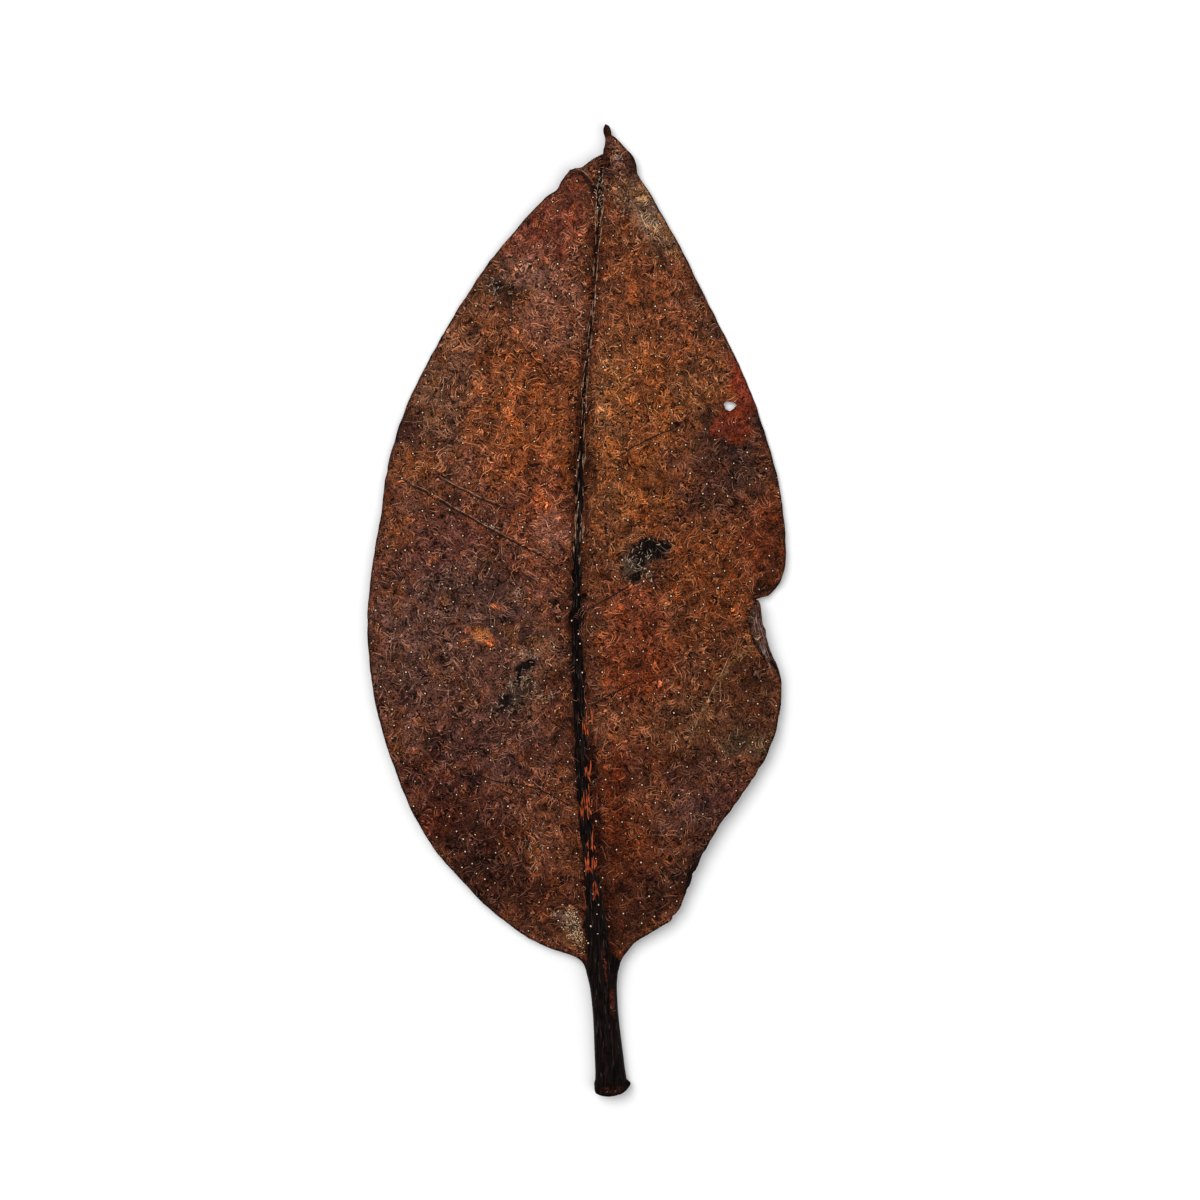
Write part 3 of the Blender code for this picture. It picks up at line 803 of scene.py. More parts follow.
@dataclass(frozen=True)
class LeafColours:
    """Colours of the dried leaf by place: warm brown with stains, black midrib, an edge darkened by painted
    shade, paler beneath.
    """

    ground: str = "#73412a"
    rib_brown_and_shade: str = "#34150b"
    strip: str = "#52382f"
    under: str = "#83603f"
    under_rib: str = "#4c2d1b"
    stains: tuple[Stain, ...] = (
        Stain(-16, -6, 15, 26, 0, 0.8, 0.7, "#5c3a31"),
        Stain(-15, 34, 8, 11, -25, 0.75, 0.6, "#694838"),
        Stain(-7, 27, 7.2, 16, 10, 0.8, 0.6, "#8c4a27"),
        Stain(7.5, 25, 7, 16, 0, 0.75, 0.6, "#8a4c26"),
        Stain(4.6, 31, 2.6, 9, -4, 0.65, 0.6, "#8c5a3a"),
        Stain(17, 6, 10, 9, 0, 0.75, 0.6, "#713a1c"),
        Stain(20.5, 19.5, 8, 6.5, 30, 0.85, 0.6, "#4d2d23"),
        Stain(24.5, 20.5, 3, 4, 0, 0.6, 0.6, "#3b2720"),
        Stain(18, 31, 5, 5, 0, 0.6, 0.6, "#7a4a2c"),
        Stain(9, 48, 6, 8, -20, 0.7, 0.6, "#7c4429"),
        Stain(10.8, 57.5, 2.6, 6.5, 32, 0.76, 0.6, "#85654e"),
        Stain(-4.5, 55.5, 4.8, 5.5, -35, 0.8, 0.6, "#7c3f30"),
        Stain(0, 61.5, 2.6, 3, -20, 0.8, 0.5, "#5f3228"),
        Stain(4.8, 66, 1.8, 3.4, 0, 0.8, 0.5, "#62423a"),
        Stain(7.8, 64, 0.9, 2.6, 20, 0.6, 0.5, "#3a2a22"),
        Stain(-2.5, 44, 6, 6.5, 0, 0.75, 0.6, "#80503e"),
        Stain(-6.9, 49.2, 3.6, 3.2, -30, 0.65, 0.6, "#875c4e"),
        Stain(18.8, 42.6, 2.2, 4.4, 27, 0.6, 0.6, "#543629"),
        Stain(-11.3, 46.9, 2.6, 2.8, 0, 0.7, 0.5, "#32241a"),
        Stain(-17.5, 40.5, 3, 4, -25, 0.6, 0.6, "#784a33"),
        Stain(-26.3, 24.6, 2.6, 4.4, -20, 0.8, 0.6, "#362120"),
        Stain(-24, 21, 4.2, 2.4, 10, 0.75, 0.6, "#7c472a"),
        Stain(-22, 30, 2.4, 3, 0, 0.6, 0.6, "#684634"),
        Stain(19, 27, 1.5, 2.4, 20, 0.85, 0.5, "#2f1e1a"),
        Stain(21.4, 23.2, 2.8, 1.6, 10, 0.75, 0.5, "#382320"),
        Stain(26.4, 27.4, 0.9, 3.2, 22, 0.65, 0.5, "#382220"),
        Stain(24.2, 32.4, 1.4, 4.4, 20, 0.95, 0.3, "#7c3423"),
        Stain(22.9, 27.2, 2.7, 3.3, 10, 0.95, 0.3, "#763220"),
        Stain(-4.5, 12, 4.5, 8, 0, 0.7, 0.6, "#844732"),
        Stain(-3.9, 10.4, 2.8, 2.9, 0, 0.8, 0.6, "#9c6450"),
        Stain(-19, 10, 9, 4, 30, 0.7, 0.6, "#5e352d"),
        Stain(-18.5, 2.5, 5, 3.5, 20, 0.5, 0.6, "#4e3833"),
        Stain(-24, -4, 5.5, 8, 0, 0.65, 0.6, "#5f4038"),
        Stain(-11, 0.5, 5, 4, 0, 0.55, 0.6, "#563c34"),
        Stain(-13.7, -3.6, 1.4, 1.05, -20, 0.95, 0.45, "#c87a44"),
        Stain(-12.5, -4.5, 0.8, 0.65, 0, 0.9, 0.45, "#b05c34"),
        Stain(-15.6, -3, 1.00, 0.45, -10, 0.75, 0.5, "#a0583a"),
        Stain(-16.6, -4.2, 0.8, 0.35, -30, 0.75, 0.5, "#a85f44"),
        Stain(-11.5, 0.5, 1.1, 0.24, -37, 0.8, 0.5, "#a8552f"),
        Stain(-9.5, -3, 1.3, 1, 0, 0.7, 0.5, "#7c4a2c"),
        Stain(-9, -12.4, 1.8, 4.4, -32, 0.92, 0.55, "#332b27"),
        Stain(-6.9, -8.6, 0.8, 2.2, -20, 0.8, 0.5, "#262422"),
        Stain(-5.8, -8.5, 3.2, 6, 0, 0.6, 0.6, "#694736"),
        Stain(-3, -12.5, 2.4, 4, 0, 0.75, 0.6, "#6c3d2a"),
        Stain(-4.5, -20.5, 4.5, 3.5, 0, 0.6, 0.6, "#4a271d"),
        Stain(-15, -20, 8, 4.5, 10, 0.7, 0.6, "#57352e"),
        Stain(-18, -27, 9.5, 5, -25, 0.8, 0.6, "#45211a"),
        Stain(-20.5, -31, 3, 3, -40, 0.7, 0.6, "#602817"),
        Stain(-12.5, -38, 9, 5, -40, 0.88, 0.6, "#301510"),
        Stain(-5.5, -31, 3.6, 5.5, 0, 0.75, 0.6, "#6b3c29"),
        Stain(-3.5, -41, 4.2, 4, 0, 0.7, 0.6, "#4e2618"),
        Stain(-5.5, -46.6, 3.4, 1.6, -25, 0.6, 0.6, "#4f2d20"),
        Stain(-0.8, -45.8, 1.3, 2.2, 0, 0.8, 0.6, "#7c5a45"),
        Stain(-1.9, -44.2, 1.2, 1, 0, 0.55, 0.6, "#7a6052"),
        Stain(1, 19.5, 2.6, 7, 0, 0.6, 0.6, "#4d2613"),
        Stain(5, 13, 3.6, 6, 0, 0.65, 0.6, "#7c4c30"),
        Stain(9.5, 7.2, 3.8, 3.6, 0, 0.62, 0.6, "#3c2820"),
        Stain(10.7, 8.9, 2.6, 1.7, 25, 0.96, 0.45, "#211f1d"),
        Stain(8.4, 5.8, 1.7, 1.9, 0, 0.8, 0.6, "#39312b"),
        Stain(27.4, 10.5, 3.2, 5.6, 0, 0.85, 0.55, "#68301a"),
        Stain(28.3, 5.6, 2, 2.4, 0, 0.7, 0.6, "#4c2413"),
        # Painted shade in the dent below the notch's upper lip
        Stain(27, 3.1, 2.4, 1, 10, 0.85, 0.6, "#2f140d"),
        Stain(8.6, 0, 4, 3.6, 0, 0.75, 0.6, "#86432b"),
        Stain(8.5, -8.5, 5, 5.5, 0, 0.75, 0.6, "#74331a"),
        Stain(10.3, -11, 2.4, 2, 0, 0.75, 0.6, "#70331c"),
        Stain(21.5, -7.5, 5, 4.5, 0, 0.6, 0.6, "#552e1a"),
        Stain(21.5, -2.9, 4, 4, 0, 0.45, 0.6, "#5a2d17"),
        Stain(18, -16, 6, 4.5, 30, 0.75, 0.6, "#553423"),
        Stain(24.8, -19.3, 3.8, 2.4, 10, 0.8, 0.6, "#54402f"),
        Stain(26.3, -11.5, 4, 4.5, 0, 0.8, 0.6, "#3e2419"),
        Stain(15.5, -23.5, 7, 2.6, 8, 0.75, 0.6, "#43271e"),
        Stain(16.8, -29.8, 5, 4, 30, 0.8, 0.6, "#4f332e"),
        Stain(22.2, -27.6, 4.2, 3.2, 55, 0.7, 0.6, "#3c201d"),
        Stain(7.8, -22, 4.5, 4, 0, 0.7, 0.6, "#552a1b"),
        Stain(4.6, -29, 2.6, 8, -8, 0.8, 0.6, "#6a2c14"),
        Stain(7.4, -34.5, 4.2, 8, 0, 0.75, 0.6, "#58260f"),
        Stain(17.6, -37.4, 1.7, 4.6, -28, 0.92, 0.5, "#1b1211"),
        Stain(7.8, -41.5, 3.4, 4.5, 0, 0.75, 0.6, "#4a2113"),
        Stain(12.6, -40, 4.4, 4.6, -20, 0.78, 0.6, "#371b13"),
        Stain(9.5, -45, 4, 2.6, 30, 0.7, 0.6, "#2e1810"),
        Stain(5.8, -45, 1.6, 4, 10, 0.7, 0.6, "#3f1d12"),
    )

    def blend(self, base: Points, tint: str, share: Values) -> Points:
        """Base colours mixed towards a tint by a share for each point."""
        return base + (np.array(linear(tint)[:3]) - base) * share[:, None]

    def stained(self, points: Points) -> Points:
        """Ground colour with its stains, whose edges wander with noise."""
        colours = np.tile(np.array(linear(self.ground)[:3]), (len(points), 1))
        wander = np.column_stack([noise_field(points, 2.6, 21), noise_field(points, 2.6, 22)])
        wander += 0.6 * np.column_stack([noise_field(points, 1.0, 23), noise_field(points, 1.0, 24)])
        for stain in self.stains:
            colours = self.blend(colours, stain.tint, stain.strength * stain.mask(points, wander))
        return colours


class Face(Enum):
    """Faces of the leaf, with the value that marks each in the mesh."""

    UPPER = 1.0
    LOWER = 0.0


@dataclass(frozen=True)
class LeafMarks:
    """Where the leaf is black, crusted or calm, where painted shade darkens its margin and a dent at the
    notch, and where the small scattered things may lie.
    """

    knots: tuple[tuple[float, float, float], ...] = (
        (17.7, 0.7, 0.8), (5.0, 0.6, 0.5), (-1.0, 0.7, 0.8), (39.0, 0.6, 0.6), (47.5, 1.0, 0.7),
        (-9.5, 0.9, 0.4),
    )
    rust_streaks: tuple[Stain, ...] = (
        Stain(5.25, -57, 0.5, 2.8, 3, 0.95, 0.7, "#43211a"),
        Stain(4.2, -51.5, 0.18, 3.2, 5, 0.9, 0.6, "#4a1d12"),
        Stain(5.3, -69.5, 2, 0.5, 4, 0.7, 0.5, "#371d16"),
    )
    dead_spots_and_dent_shade: tuple[SoftPatch, ...] = (
        SoftPatch(10.9, 9, 3.2, 1.8, 5, 0.86, 0.65),
        SoftPatch(9.2, 6.4, 0.6, 2, -12, 0.75, 0.6),
        SoftPatch(8.8, 4.8, 1.4, 0.7, 25, 0.7, 0.6),
        SoftPatch(-7.5, -8.1, 1.8, 0.6, 20, 0.88, 0.5),
        SoftPatch(-8.5, -9.8, 0.4, 1.3, -15, 0.75, 0.6),
        SoftPatch(-10.4, -13.2, 0.9, 1.9, -35, 0.7, 0.7),
        SoftPatch(-8.8, -15.2, 0.5, 0.9, 0, 0.6, 0.6),
        SoftPatch(-11.4, 47, 1.3, 1.6, 0, 0.5, 0.7),
        # Painted shade in the dent below the notch's upper lip
        SoftPatch(27.5, 3.1, 2, 0.75, 12, 0.55, 0.7),
        SoftPatch(16.9, -38.6, 0.8, 3, -25, 0.8, 0.5),
        SoftPatch(4.2, 69.6, 0.6, 1.2, 0, 0.55, 0.5),
    )
    calm_patches: tuple[SoftPatch, ...] = (
        SoftPatch(24.2, 32.4, 1.5, 4.4, 20, 0.9, 0.3),
        SoftPatch(22.9, 27.2, 2.9, 3.4, 10, 0.9, 0.3),
        SoftPatch(6.2, -44, 3, 6.5, 10, 0.6, 0.6),
        SoftPatch(-3.9, 10.4, 2.6, 2.8, 0, 0.5, 0.6),
        SoftPatch(0.4, 60.2, 2.2, 2.6, -20, 0.8, 0.4),
        SoftPatch(-5.5, 54, 3.6, 4.4, -35, 0.5, 0.6),
        SoftPatch(27.6, 7, 2.4, 5, 0, 0.6, 0.5),
        SoftPatch(-13.7, -3.7, 1.6, 1.3, -20, 0.8, 0.4),
    )
    crust_lines: tuple[tuple[Path, float, float], ...] = (
        (((-0.9, -43.9), (-0.3, -45.4), (0.0, -46.8), (0.3, -48.3)), 0.62, 1.0),
        (((-3.4, -44.1), (-2.2, -43.8), (-1.2, -44.0)), 0.30, 0.55),
        (((-1.9, -45.8), (-1.5, -45.6)), 0.38, 0.7),
    )
    rib_border: tuple[float, float] = (0.60, 1.30)
    stalk_border: tuple[float, float] = (-51.0, -48.5)
    edge_shade_border: tuple[float, float] = (0.16, 0.52)
    bared_share: float = 0.75
    crust_gain: float = 2.1

    def black_parts(self, midrib: Midrib, points: Points, wobble: Values, wander: Points) -> list[Values]:
        """Black of the midrib, and black of the stalk with the dead spots, one of which is painted shade in
        a dent at the notch.

        Args:
            midrib: Midrib and stalk that are black.
            points: Flat points.
            wobble: Noise that shifts the border of the black.
            wander: Noise in two columns that bends the edges of the dead spots.

        Returns:
            Two shares from 0 to 1 for each point.
        """
        y = points[:, 1]
        offset = midrib.offset(points)
        uneven = 1 + 0.30 * noise_field(points, 1.1, 35) + 0.22 * noise_field(points, 2.9, 36)
        for knot_y, reach, widening in self.knots:
            uneven += widening * np.exp(-(((y - knot_y) / reach) ** 2))
        width = midrib.black_half_width.at(y) * uneven
        rib = 1 - smoothstep(*self.rib_border, np.abs(offset + 0.1) / width + wobble / width)
        rib *= midrib.black_strength.at(y)
        ragged = y + 1.2 * noise_field(points, 1.5, 33) + 0.5 * np.abs(offset)
        stalk = 1 - smoothstep(*self.stalk_border, ragged)
        for streak in self.rust_streaks:
            bared = 1 - self.bared_share * streak.mask(points)
            stalk *= bared
            rib *= np.where(y < midrib.stalk_top_y + 4, bared, 1)
        for spot in self.dead_spots_and_dent_shade:
            stalk = np.maximum(stalk, spot.strength * spot.mask(points, wander))
        return [rib, stalk]

    def crust(self, points: Points) -> Values:
        """Share of the pale crust, which follows its lines and breaks up with noise."""
        share = np.zeros(len(points))
        for line, reach, strength in self.crust_lines:
            away = distance_to(flat_tree(smooth_path(line, 0.1)), points)
            share = np.maximum(share, strength * np.exp(-((away / reach) ** 2)))
        share *= 0.75 + 0.9 * np.clip(noise_field(points, 0.8, 34), -0.5, 1)
        return np.clip(self.crust_gain * share, 0, 1)

    def brown(self, midrib: Midrib, points: Points, wobble: Values) -> Values:
        """Share of dark brown beside the midrib, wider on its right towards the stalk; the flank along the
        midrib is partly the leaf's own colour and partly painted shade of its furrow.
        """
        y = points[:, 1]
        offset = midrib.offset(points)
        brown = smoothstep(-16, -24, y) * (1 - smoothstep(1.6, 2.9, offset + 3 * wobble)) * (offset > 0)
        flank = np.exp(-((offset / midrib.shaded_flank_half_width.at(y)) ** 2)) * (0.75 + 0.6 * wobble)
        return np.clip(brown * 0.6 + flank, 0, 1)

    def at(self, pattern: LeafPattern, leaf: FlatLeaf) -> dict[str, Values]:
        """Every mark at the pattern's points, as shares from 0 to 1.

        Args:
            pattern: Pattern with the midrib and the folded strip.
            leaf: The split pattern.

        Returns:
            The shares by the mark's name.
        """
        points = leaf.places
        y = points[:, 1]
        midrib = pattern.midrib
        wobble = 0.12 * noise_field(points, 0.8, 31) + 0.08 * noise_field(points, 3.0, 32)
        wander = np.column_stack([noise_field(points, 1.3, 38), noise_field(points, 1.3, 39)])
        rib, stalk = self.black_parts(midrib, points, wobble, wander)
        from_margin = distance_to(leaf.margin, points)
        away = np.minimum(from_margin, distance_to(leaf.hole_edge, points))
        calm = np.zeros(len(points))
        for patch in self.calm_patches:
            calm = np.maximum(calm, patch.strength * patch.mask(points, 0.5 * wander))
        clump = (0.66 + 0.95 * noise_field(points, 4.5, 37)) * (1 - calm)
        strip = smoothstep(0.9, 1.6, pattern.strip.beyond(points))
        on_blade = smoothstep(-52.0, -47.0, y) * smoothstep(0.5, 1.0, away) * (1 - strip)
        return {
            "rib": np.maximum(rib, stalk),
            "ridge": 1 - smoothstep(0.8, 1.1, np.abs(midrib.offset(points)) / midrib.half_width.at(y)),
            "brown": self.brown(midrib, points, wobble),
            # Dark line along the margin: painted shade where the margin rolls down
            "edge": 1 - smoothstep(*self.edge_shade_border, from_margin + wobble),
            "strip": strip,
            "bloom_and_highlight": self.crust(points),
            "calm": calm,
            "open": on_blade * (1 - rib) * np.clip(clump, 0.02, 1),
            # Where the pale beads lie, whose near-white colour is a painted glint
            "glint_speck": on_blade * (0.85 - 0.65 * stalk),
            "wart": on_blade * (1 - rib),
        }


@dataclass
class LeafBody:
    """The leaf itself: both faces and a rounded rim, one closed mesh with its colours and its UV map."""

    pattern: LeafPattern = field(default_factory=LeafPattern)
    lie: LeafLie = field(default_factory=LeafLie)
    relief: LeafRelief = field(default_factory=LeafRelief)
    colours: LeafColours = field(default_factory=LeafColours)
    marks: LeafMarks = field(default_factory=LeafMarks)
    uv_scale: float = 0.0069
    uv_column: float = 0.43
    uv_strip: float = 0.018
    uv_left: float = 0.004
    uv_bottom: float = 0.008
    uv_height: float = 0.97

    def sheet(self, leaf: FlatLeaf) -> tuple[Points, Points]:
        """Places in space and unit normals of the middle sheet."""
        middle = self.pattern.strip.bend(leaf.places, self.lie.height(self.pattern, leaf))
        a, b, c = (middle[leaf.triangles[:, k]] for k in range(3))
        area = np.cross(b - a, c - a)
        normals = np.zeros_like(middle)
        for k in range(3):
            np.add.at(normals, leaf.triangles[:, k], area)
        return middle, normals / np.linalg.norm(normals, axis=1)[:, None]

    def rim_middle(self, loop: list[int], middle: Points, normals: Points, places: Points) -> Points:
        """Points halfway down the rim, standing out to round it, or sunk at the cut end of the stalk."""
        run = middle[np.roll(loop, -1)] - middle[np.roll(loop, 1)]
        outward = np.cross(run, normals[loop])
        outward /= np.linalg.norm(outward, axis=1)[:, None]
        at_cut = places[loop][:, 1] < self.pattern.midrib.stalk_end_y - 0.9
        bulge = np.where(at_cut, -self.relief.cut_hollow, self.relief.rim_bulge)
        return outward * bulge[:, None]

    def upper_colours(self, leaf: FlatLeaf, masks: dict[str, Values]) -> Points:
        """Colours of the upper face at the pattern's points."""
        colours = self.colours.stained(leaf.places)
        # Painted shade in the sunken creases, painted highlight on the raised ones
        for crease in self.relief.creases:
            share = crease.strength * self.relief.crease_mask(crease, leaf.places)
            colours = self.colours.blend(colours, crease.tint, share)
        # Dark brown beside the midrib, partly painted shade of its furrow
        colours = self.colours.blend(colours, self.colours.rib_brown_and_shade, masks["brown"])
        for streak in self.marks.rust_streaks:
            colours = self.colours.blend(colours, streak.tint, streak.strength * streak.mask(leaf.places))
        return colours

    def lower_colours(self, leaf: FlatLeaf, masks: dict[str, Values], upper: Points) -> Points:
        """Colours of the lower face: paler than the upper one, darker on the midrib and the stalk."""
        colours = self.colours.blend(upper, self.colours.under, np.full(len(upper), 0.62))
        vein = np.exp(-((distance_to(leaf.veins, leaf.places) / 0.5) ** 2))
        dark = 0.9 * np.maximum(masks["ridge"], 0.75 * vein)
        colours = self.colours.blend(colours, self.colours.under_rib, dark)
        strip = smoothstep(-0.6, 0.2, self.pattern.strip.beyond(leaf.places) - 0.3)
        return self.colours.blend(colours, self.colours.strip, 0.95 * strip)

    def uv_of(self, leaf: FlatLeaf, face: Face) -> Points:
        """Places of the pattern's points on the bake map, with one island for each face."""
        low = leaf.places.min(axis=0)
        left = self.uv_left + (self.uv_column if face is Face.LOWER else 0)
        return (leaf.places - low) * self.uv_scale + (left, self.uv_bottom)

    def build(self) -> Piece:
        """Make the leaf's mesh, with its attributes and UV map.

        Returns:
            The leaf's object, at the origin, without a material.
        """
        leaf = self.pattern.split()
        middle, normals = self.sheet(leaf)
        above, below = self.relief.offsets(self.pattern, leaf)
        upper = middle + normals * above[:, None]
        lower = middle - normals * below[:, None]
        lower[:, 2] = np.maximum(lower[:, 2], 0.0)
        count = len(upper)
        loops = leaf.rim()
        rims = []
        for loop in loops:
            between = (upper[loop] + lower[loop]) / 2
            rims.append(between + self.rim_middle(loop, middle, normals, leaf.places))
        verts = np.vstack([upper, lower, *rims]) * MM

        faces = [tuple(face) for face in leaf.triangles]
        faces += [(c + count, b + count, a + count) for a, b, c in leaf.triangles]
        uvs = [self.uv_of(leaf, Face.UPPER)[leaf.triangles].reshape(-1, 2)]
        uvs.append(self.uv_of(leaf, Face.LOWER)[leaf.triangles[:, ::-1]].reshape(-1, 2))
        start = 2 * count
        travelled = 0.0
        for loop in loops:
            for k, (a, b) in enumerate(zip(loop, loop[1:] + loop[:1])):
                rim_a = start + k
                rim_b = start + (k + 1) % len(loop)
                faces += [(b, a, rim_a, rim_b), (rim_b, rim_a, a + count, b + count)]
                step = float(np.linalg.norm(upper[b] - upper[a]))
                uvs.append(self.rim_uvs(travelled, travelled + step))
                travelled += step
            start += len(loop)

        mesh = bpy.data.meshes.new("leaf_body")
        mesh.from_pydata(verts.tolist(), [], faces)
        layer = mesh.uv_layers.new(name="OFBake")
        layer.data.foreach_set("uv", np.vstack(uvs).astype(np.float32).ravel())
        self.mark(mesh, leaf, [k for loop in loops for k in loop])
        mesh.shade_smooth()
        return new_object("leaf_body", mesh)

    def rim_uvs(self, start: float, end: float) -> Points:
        """Bake map places of the two quads of one step of the rim, in strips beside the islands."""
        per_strip = self.uv_height / self.uv_scale
        strip = int(start // per_strip)
        left = self.uv_left + 2 * self.uv_column + strip * self.uv_strip
        v = self.uv_bottom + (np.array([start, end]) - strip * per_strip) * self.uv_scale
        half = 0.4 * self.uv_strip
        near, mid, far = left, left + half, left + 2 * half
        return np.array([
            (near, v[1]), (near, v[0]), (mid, v[0]), (mid, v[1]),
            (mid, v[1]), (mid, v[0]), (far, v[0]), (far, v[1]),
        ])

    def mark(self, mesh: bpy.types.Mesh, leaf: FlatLeaf, rim: list[int]) -> None:
        """Store colours and masks on the mesh: upper points, then lower points, then the rim's."""
        masks = self.marks.at(self.pattern, leaf)
        upper = self.upper_colours(leaf, masks)
        lower = self.lower_colours(leaf, masks, upper)
        # The rim is darkened to 0.6 of the upper face's colour as painted shade
        zone = np.vstack([upper, lower, upper[rim] * 0.6])
        colours = mesh.attributes.new("zone", "FLOAT_COLOR", "POINT")
        opaque = np.column_stack([zone, np.ones(len(zone))])
        colours.data.foreach_set("color", opaque.astype(np.float32).ravel())
        nothing = np.zeros(len(leaf.places))
        # Painted shade darkens the margin on both faces
        black_and_edge_shade_above = np.maximum(masks["rib"], 0.60 * masks["edge"])
        stalk_below = masks["ridge"] * smoothstep(-44, -54, leaf.places[:, 1])
        black_and_edge_shade_below = np.maximum(0.5 * masks["edge"], stalk_below)
        stored = {
            "black": np.concatenate([black_and_edge_shade_above, black_and_edge_shade_below, black_and_edge_shade_above[rim]]),
            "side": np.concatenate([
                Face.UPPER.value - masks["calm"], Face.LOWER.value + masks["strip"], nothing[rim] + 0.5,
            ]),
            "wrinkle": np.concatenate([masks["open"], nothing, nothing[rim]]),
            "glint_speck": np.concatenate([masks["glint_speck"], nothing, nothing[rim]]),
            "wart": np.concatenate([nothing, masks["wart"], nothing[rim]]),
            "bloom_and_highlight": np.concatenate([masks["bloom_and_highlight"], nothing, nothing[rim]]),
        }
        for name, values in stored.items():
            layer = mesh.attributes.new(name, "FLOAT", "POINT")
            layer.data.foreach_set("value", values.astype(np.float32))


@dataclass(frozen=True)
class DriedCuticle:
    """Leather-dry leaf skin: matt brown with fine crooked folds, dark pits and a black, streaked midrib.

    A dead leaf's waxy skin shrinks on drying into folds about 0.15 mm wide and 1 to 2 mm long, which
    catch the light as pale crooked lines with a dark line beside them; here the pale lines are painted
    highlight and the dark lines painted shade in the colour, besides a bump. Beneath them the tissue is
    mottled over 1 to 3 mm, and dead spots half a millimetre wide are nearly black.
    """

    mottle_mm: float = 2.8
    blotch_mm: float = 0.95
    grain_mm: float = 0.21
    pit_mm: float = 0.85
    bundle_mm: float = 1.7
    folds_per_bundle: float = 5.5
    fold_width: float = 0.12
    streak_mm: float = 0.15
    relief_mm: float = 0.12
    brightness: float = 0.735
    roughness: float = 0.62
    specular: float = 0.03

    def make(self) -> Material:
        """Build the material.

        Returns:
            A material that reads the leaf's own attributes and Object coordinates.
        """
        material = new_material("dried_leaf_cuticle", self.roughness, self.specular)
        tree = material.node_tree
        shader = tree.nodes[SHADER]
        place = add_node(tree, "ShaderNodeTexCoord").outputs["Object"]
        mm = add_node(
            tree, "ShaderNodeMapping", {"Vector": place, "Scale": (1000, 1000, 1000)}
        ).outputs["Vector"]
        warp = add_node(tree, NOISE, {"Vector": mm, "Scale": 0.55, "Detail": 2.0})
        centred = add_node(
            tree, VECTOR, {0: warp.outputs["Color"], 1: (0.5, 0.5, 0.5)}, operation="SUBTRACT"
        )
        bent = add_node(
            tree, VECTOR,
            {0: centred.outputs["Vector"], 1: (2.4, 2.4, 2.4), 2: mm}, operation="MULTIPLY_ADD",
        ).outputs["Vector"]
        tissue, lumps = self.tissue(tree, bent)
        folded, folds = self.folds(tree, mm, bent, tissue)
        colour, streaks = self.blackened(tree, mm, folded)
        tree.links.new(colour, shader.inputs["Base Color"])
        raised = add_node(
            tree, MATH, {0: folds, 1: 1.0, 2: lumps}, operation="MULTIPLY_ADD"
        ).outputs["Value"]
        height = add_node(tree, MATH, {0: raised, 1: streaks}, operation="ADD").outputs["Value"]
        bump = add_node(
            tree, "ShaderNodeBump", {"Strength": 0.8, "Distance": self.relief_mm * MM, "Height": height}
        ).outputs["Normal"]
        tree.links.new(bump, shader.inputs["Normal"])
        return material

    def tissue(self, tree: Tree, bent: Socket) -> tuple[Socket, Socket]:
        """Colour and height of the tissue: its stains, mottled, rusty or dark in patches, and pitted.

        Args:
            tree: The material's node tree.
            bent: Object coordinates in millimetres, bent by noise.

        Returns:
            The colour and the height.
        """
        zone = add_node(tree, "ShaderNodeAttribute", attribute_name="zone").outputs["Color"]
        tone, lumps = None, None
        for size, detail, low, high, darkest, lightest in (
            (self.mottle_mm, 5.0, 0.34, 0.66, 0.50, 1.50),
            (self.blotch_mm, 2.0, 0.32, 0.66, 0.66, 1.34),
            (self.grain_mm, 0.0, 0.36, 0.64, 0.36, 1.70),
        ):
            cloud = add_node(
                tree, NOISE, {"Vector": bent, "Scale": 1 / size, "Detail": detail, "Roughness": 0.62}
            ).outputs["Fac"]
            shade = add_node(
                tree, RANGE,
                {"Value": cloud, "From Min": low, "From Max": high, "To Min": darkest, "To Max": lightest},
            ).outputs["Result"]
            tone = shade if tone is None else add_node(
                tree, MATH, {0: tone, 1: shade}, operation="MULTIPLY"
            ).outputs["Value"]
            lumps = cloud if lumps is None else add_node(
                tree, MATH, {0: lumps, 1: cloud}, operation="ADD"
            ).outputs["Value"]
        scaled = add_node(tree, MATH, {0: tone, 1: self.brightness}, operation="MULTIPLY").outputs["Value"]
        colour = add_node(tree, VECTOR, {0: zone, "Scale": scaled}, operation="SCALE").outputs["Vector"]
        for seed, scale, low, high, share, tint in (
            (4.0, 0.62, 0.50, 0.62, 0.85, (1.42, 1.16, 0.74)),
            (6.0, 0.50, 0.50, 0.64, 0.75, (0.46, 0.44, 0.55)),
        ):
            patch = add_node(
                tree, NOISE,
                {"Vector": bent, "Scale": scale, "Detail": 4.0, "W": seed}, noise_dimensions="4D",
            ).outputs["Fac"]
            cover = add_node(
                tree, RANGE,
                {"Value": patch, "From Min": low, "From Max": high, "To Min": 0.0, "To Max": share},
            ).outputs["Result"]
            tinted = add_node(tree, VECTOR, {0: colour, 1: tint}, operation="MULTIPLY").outputs["Vector"]
            colour = add_node(
                tree, MIX, {0: cover, "A": colour, "B": tinted}, data_type="RGBA"
            ).outputs["Result"]
        pits = add_node(
            tree, NOISE,
            {"Vector": bent, "Scale": 1 / self.pit_mm, "Detail": 1.5, "W": 9.0}, noise_dimensions="4D",
        ).outputs["Fac"]
        pitted = add_node(
            tree, RANGE,
            {"Value": pits, "From Min": 0.63, "From Max": 0.68, "To Min": 0.0, "To Max": 0.80},
        ).outputs["Result"]
        dark = add_node(tree, MIX, {0: pitted, "A": colour, "B": linear("#150b08")}, data_type="RGBA")
        sunk = add_node(tree, MATH, {0: lumps, 1: pitted}, operation="SUBTRACT").outputs["Value"]
        return dark.outputs["Result"], sunk

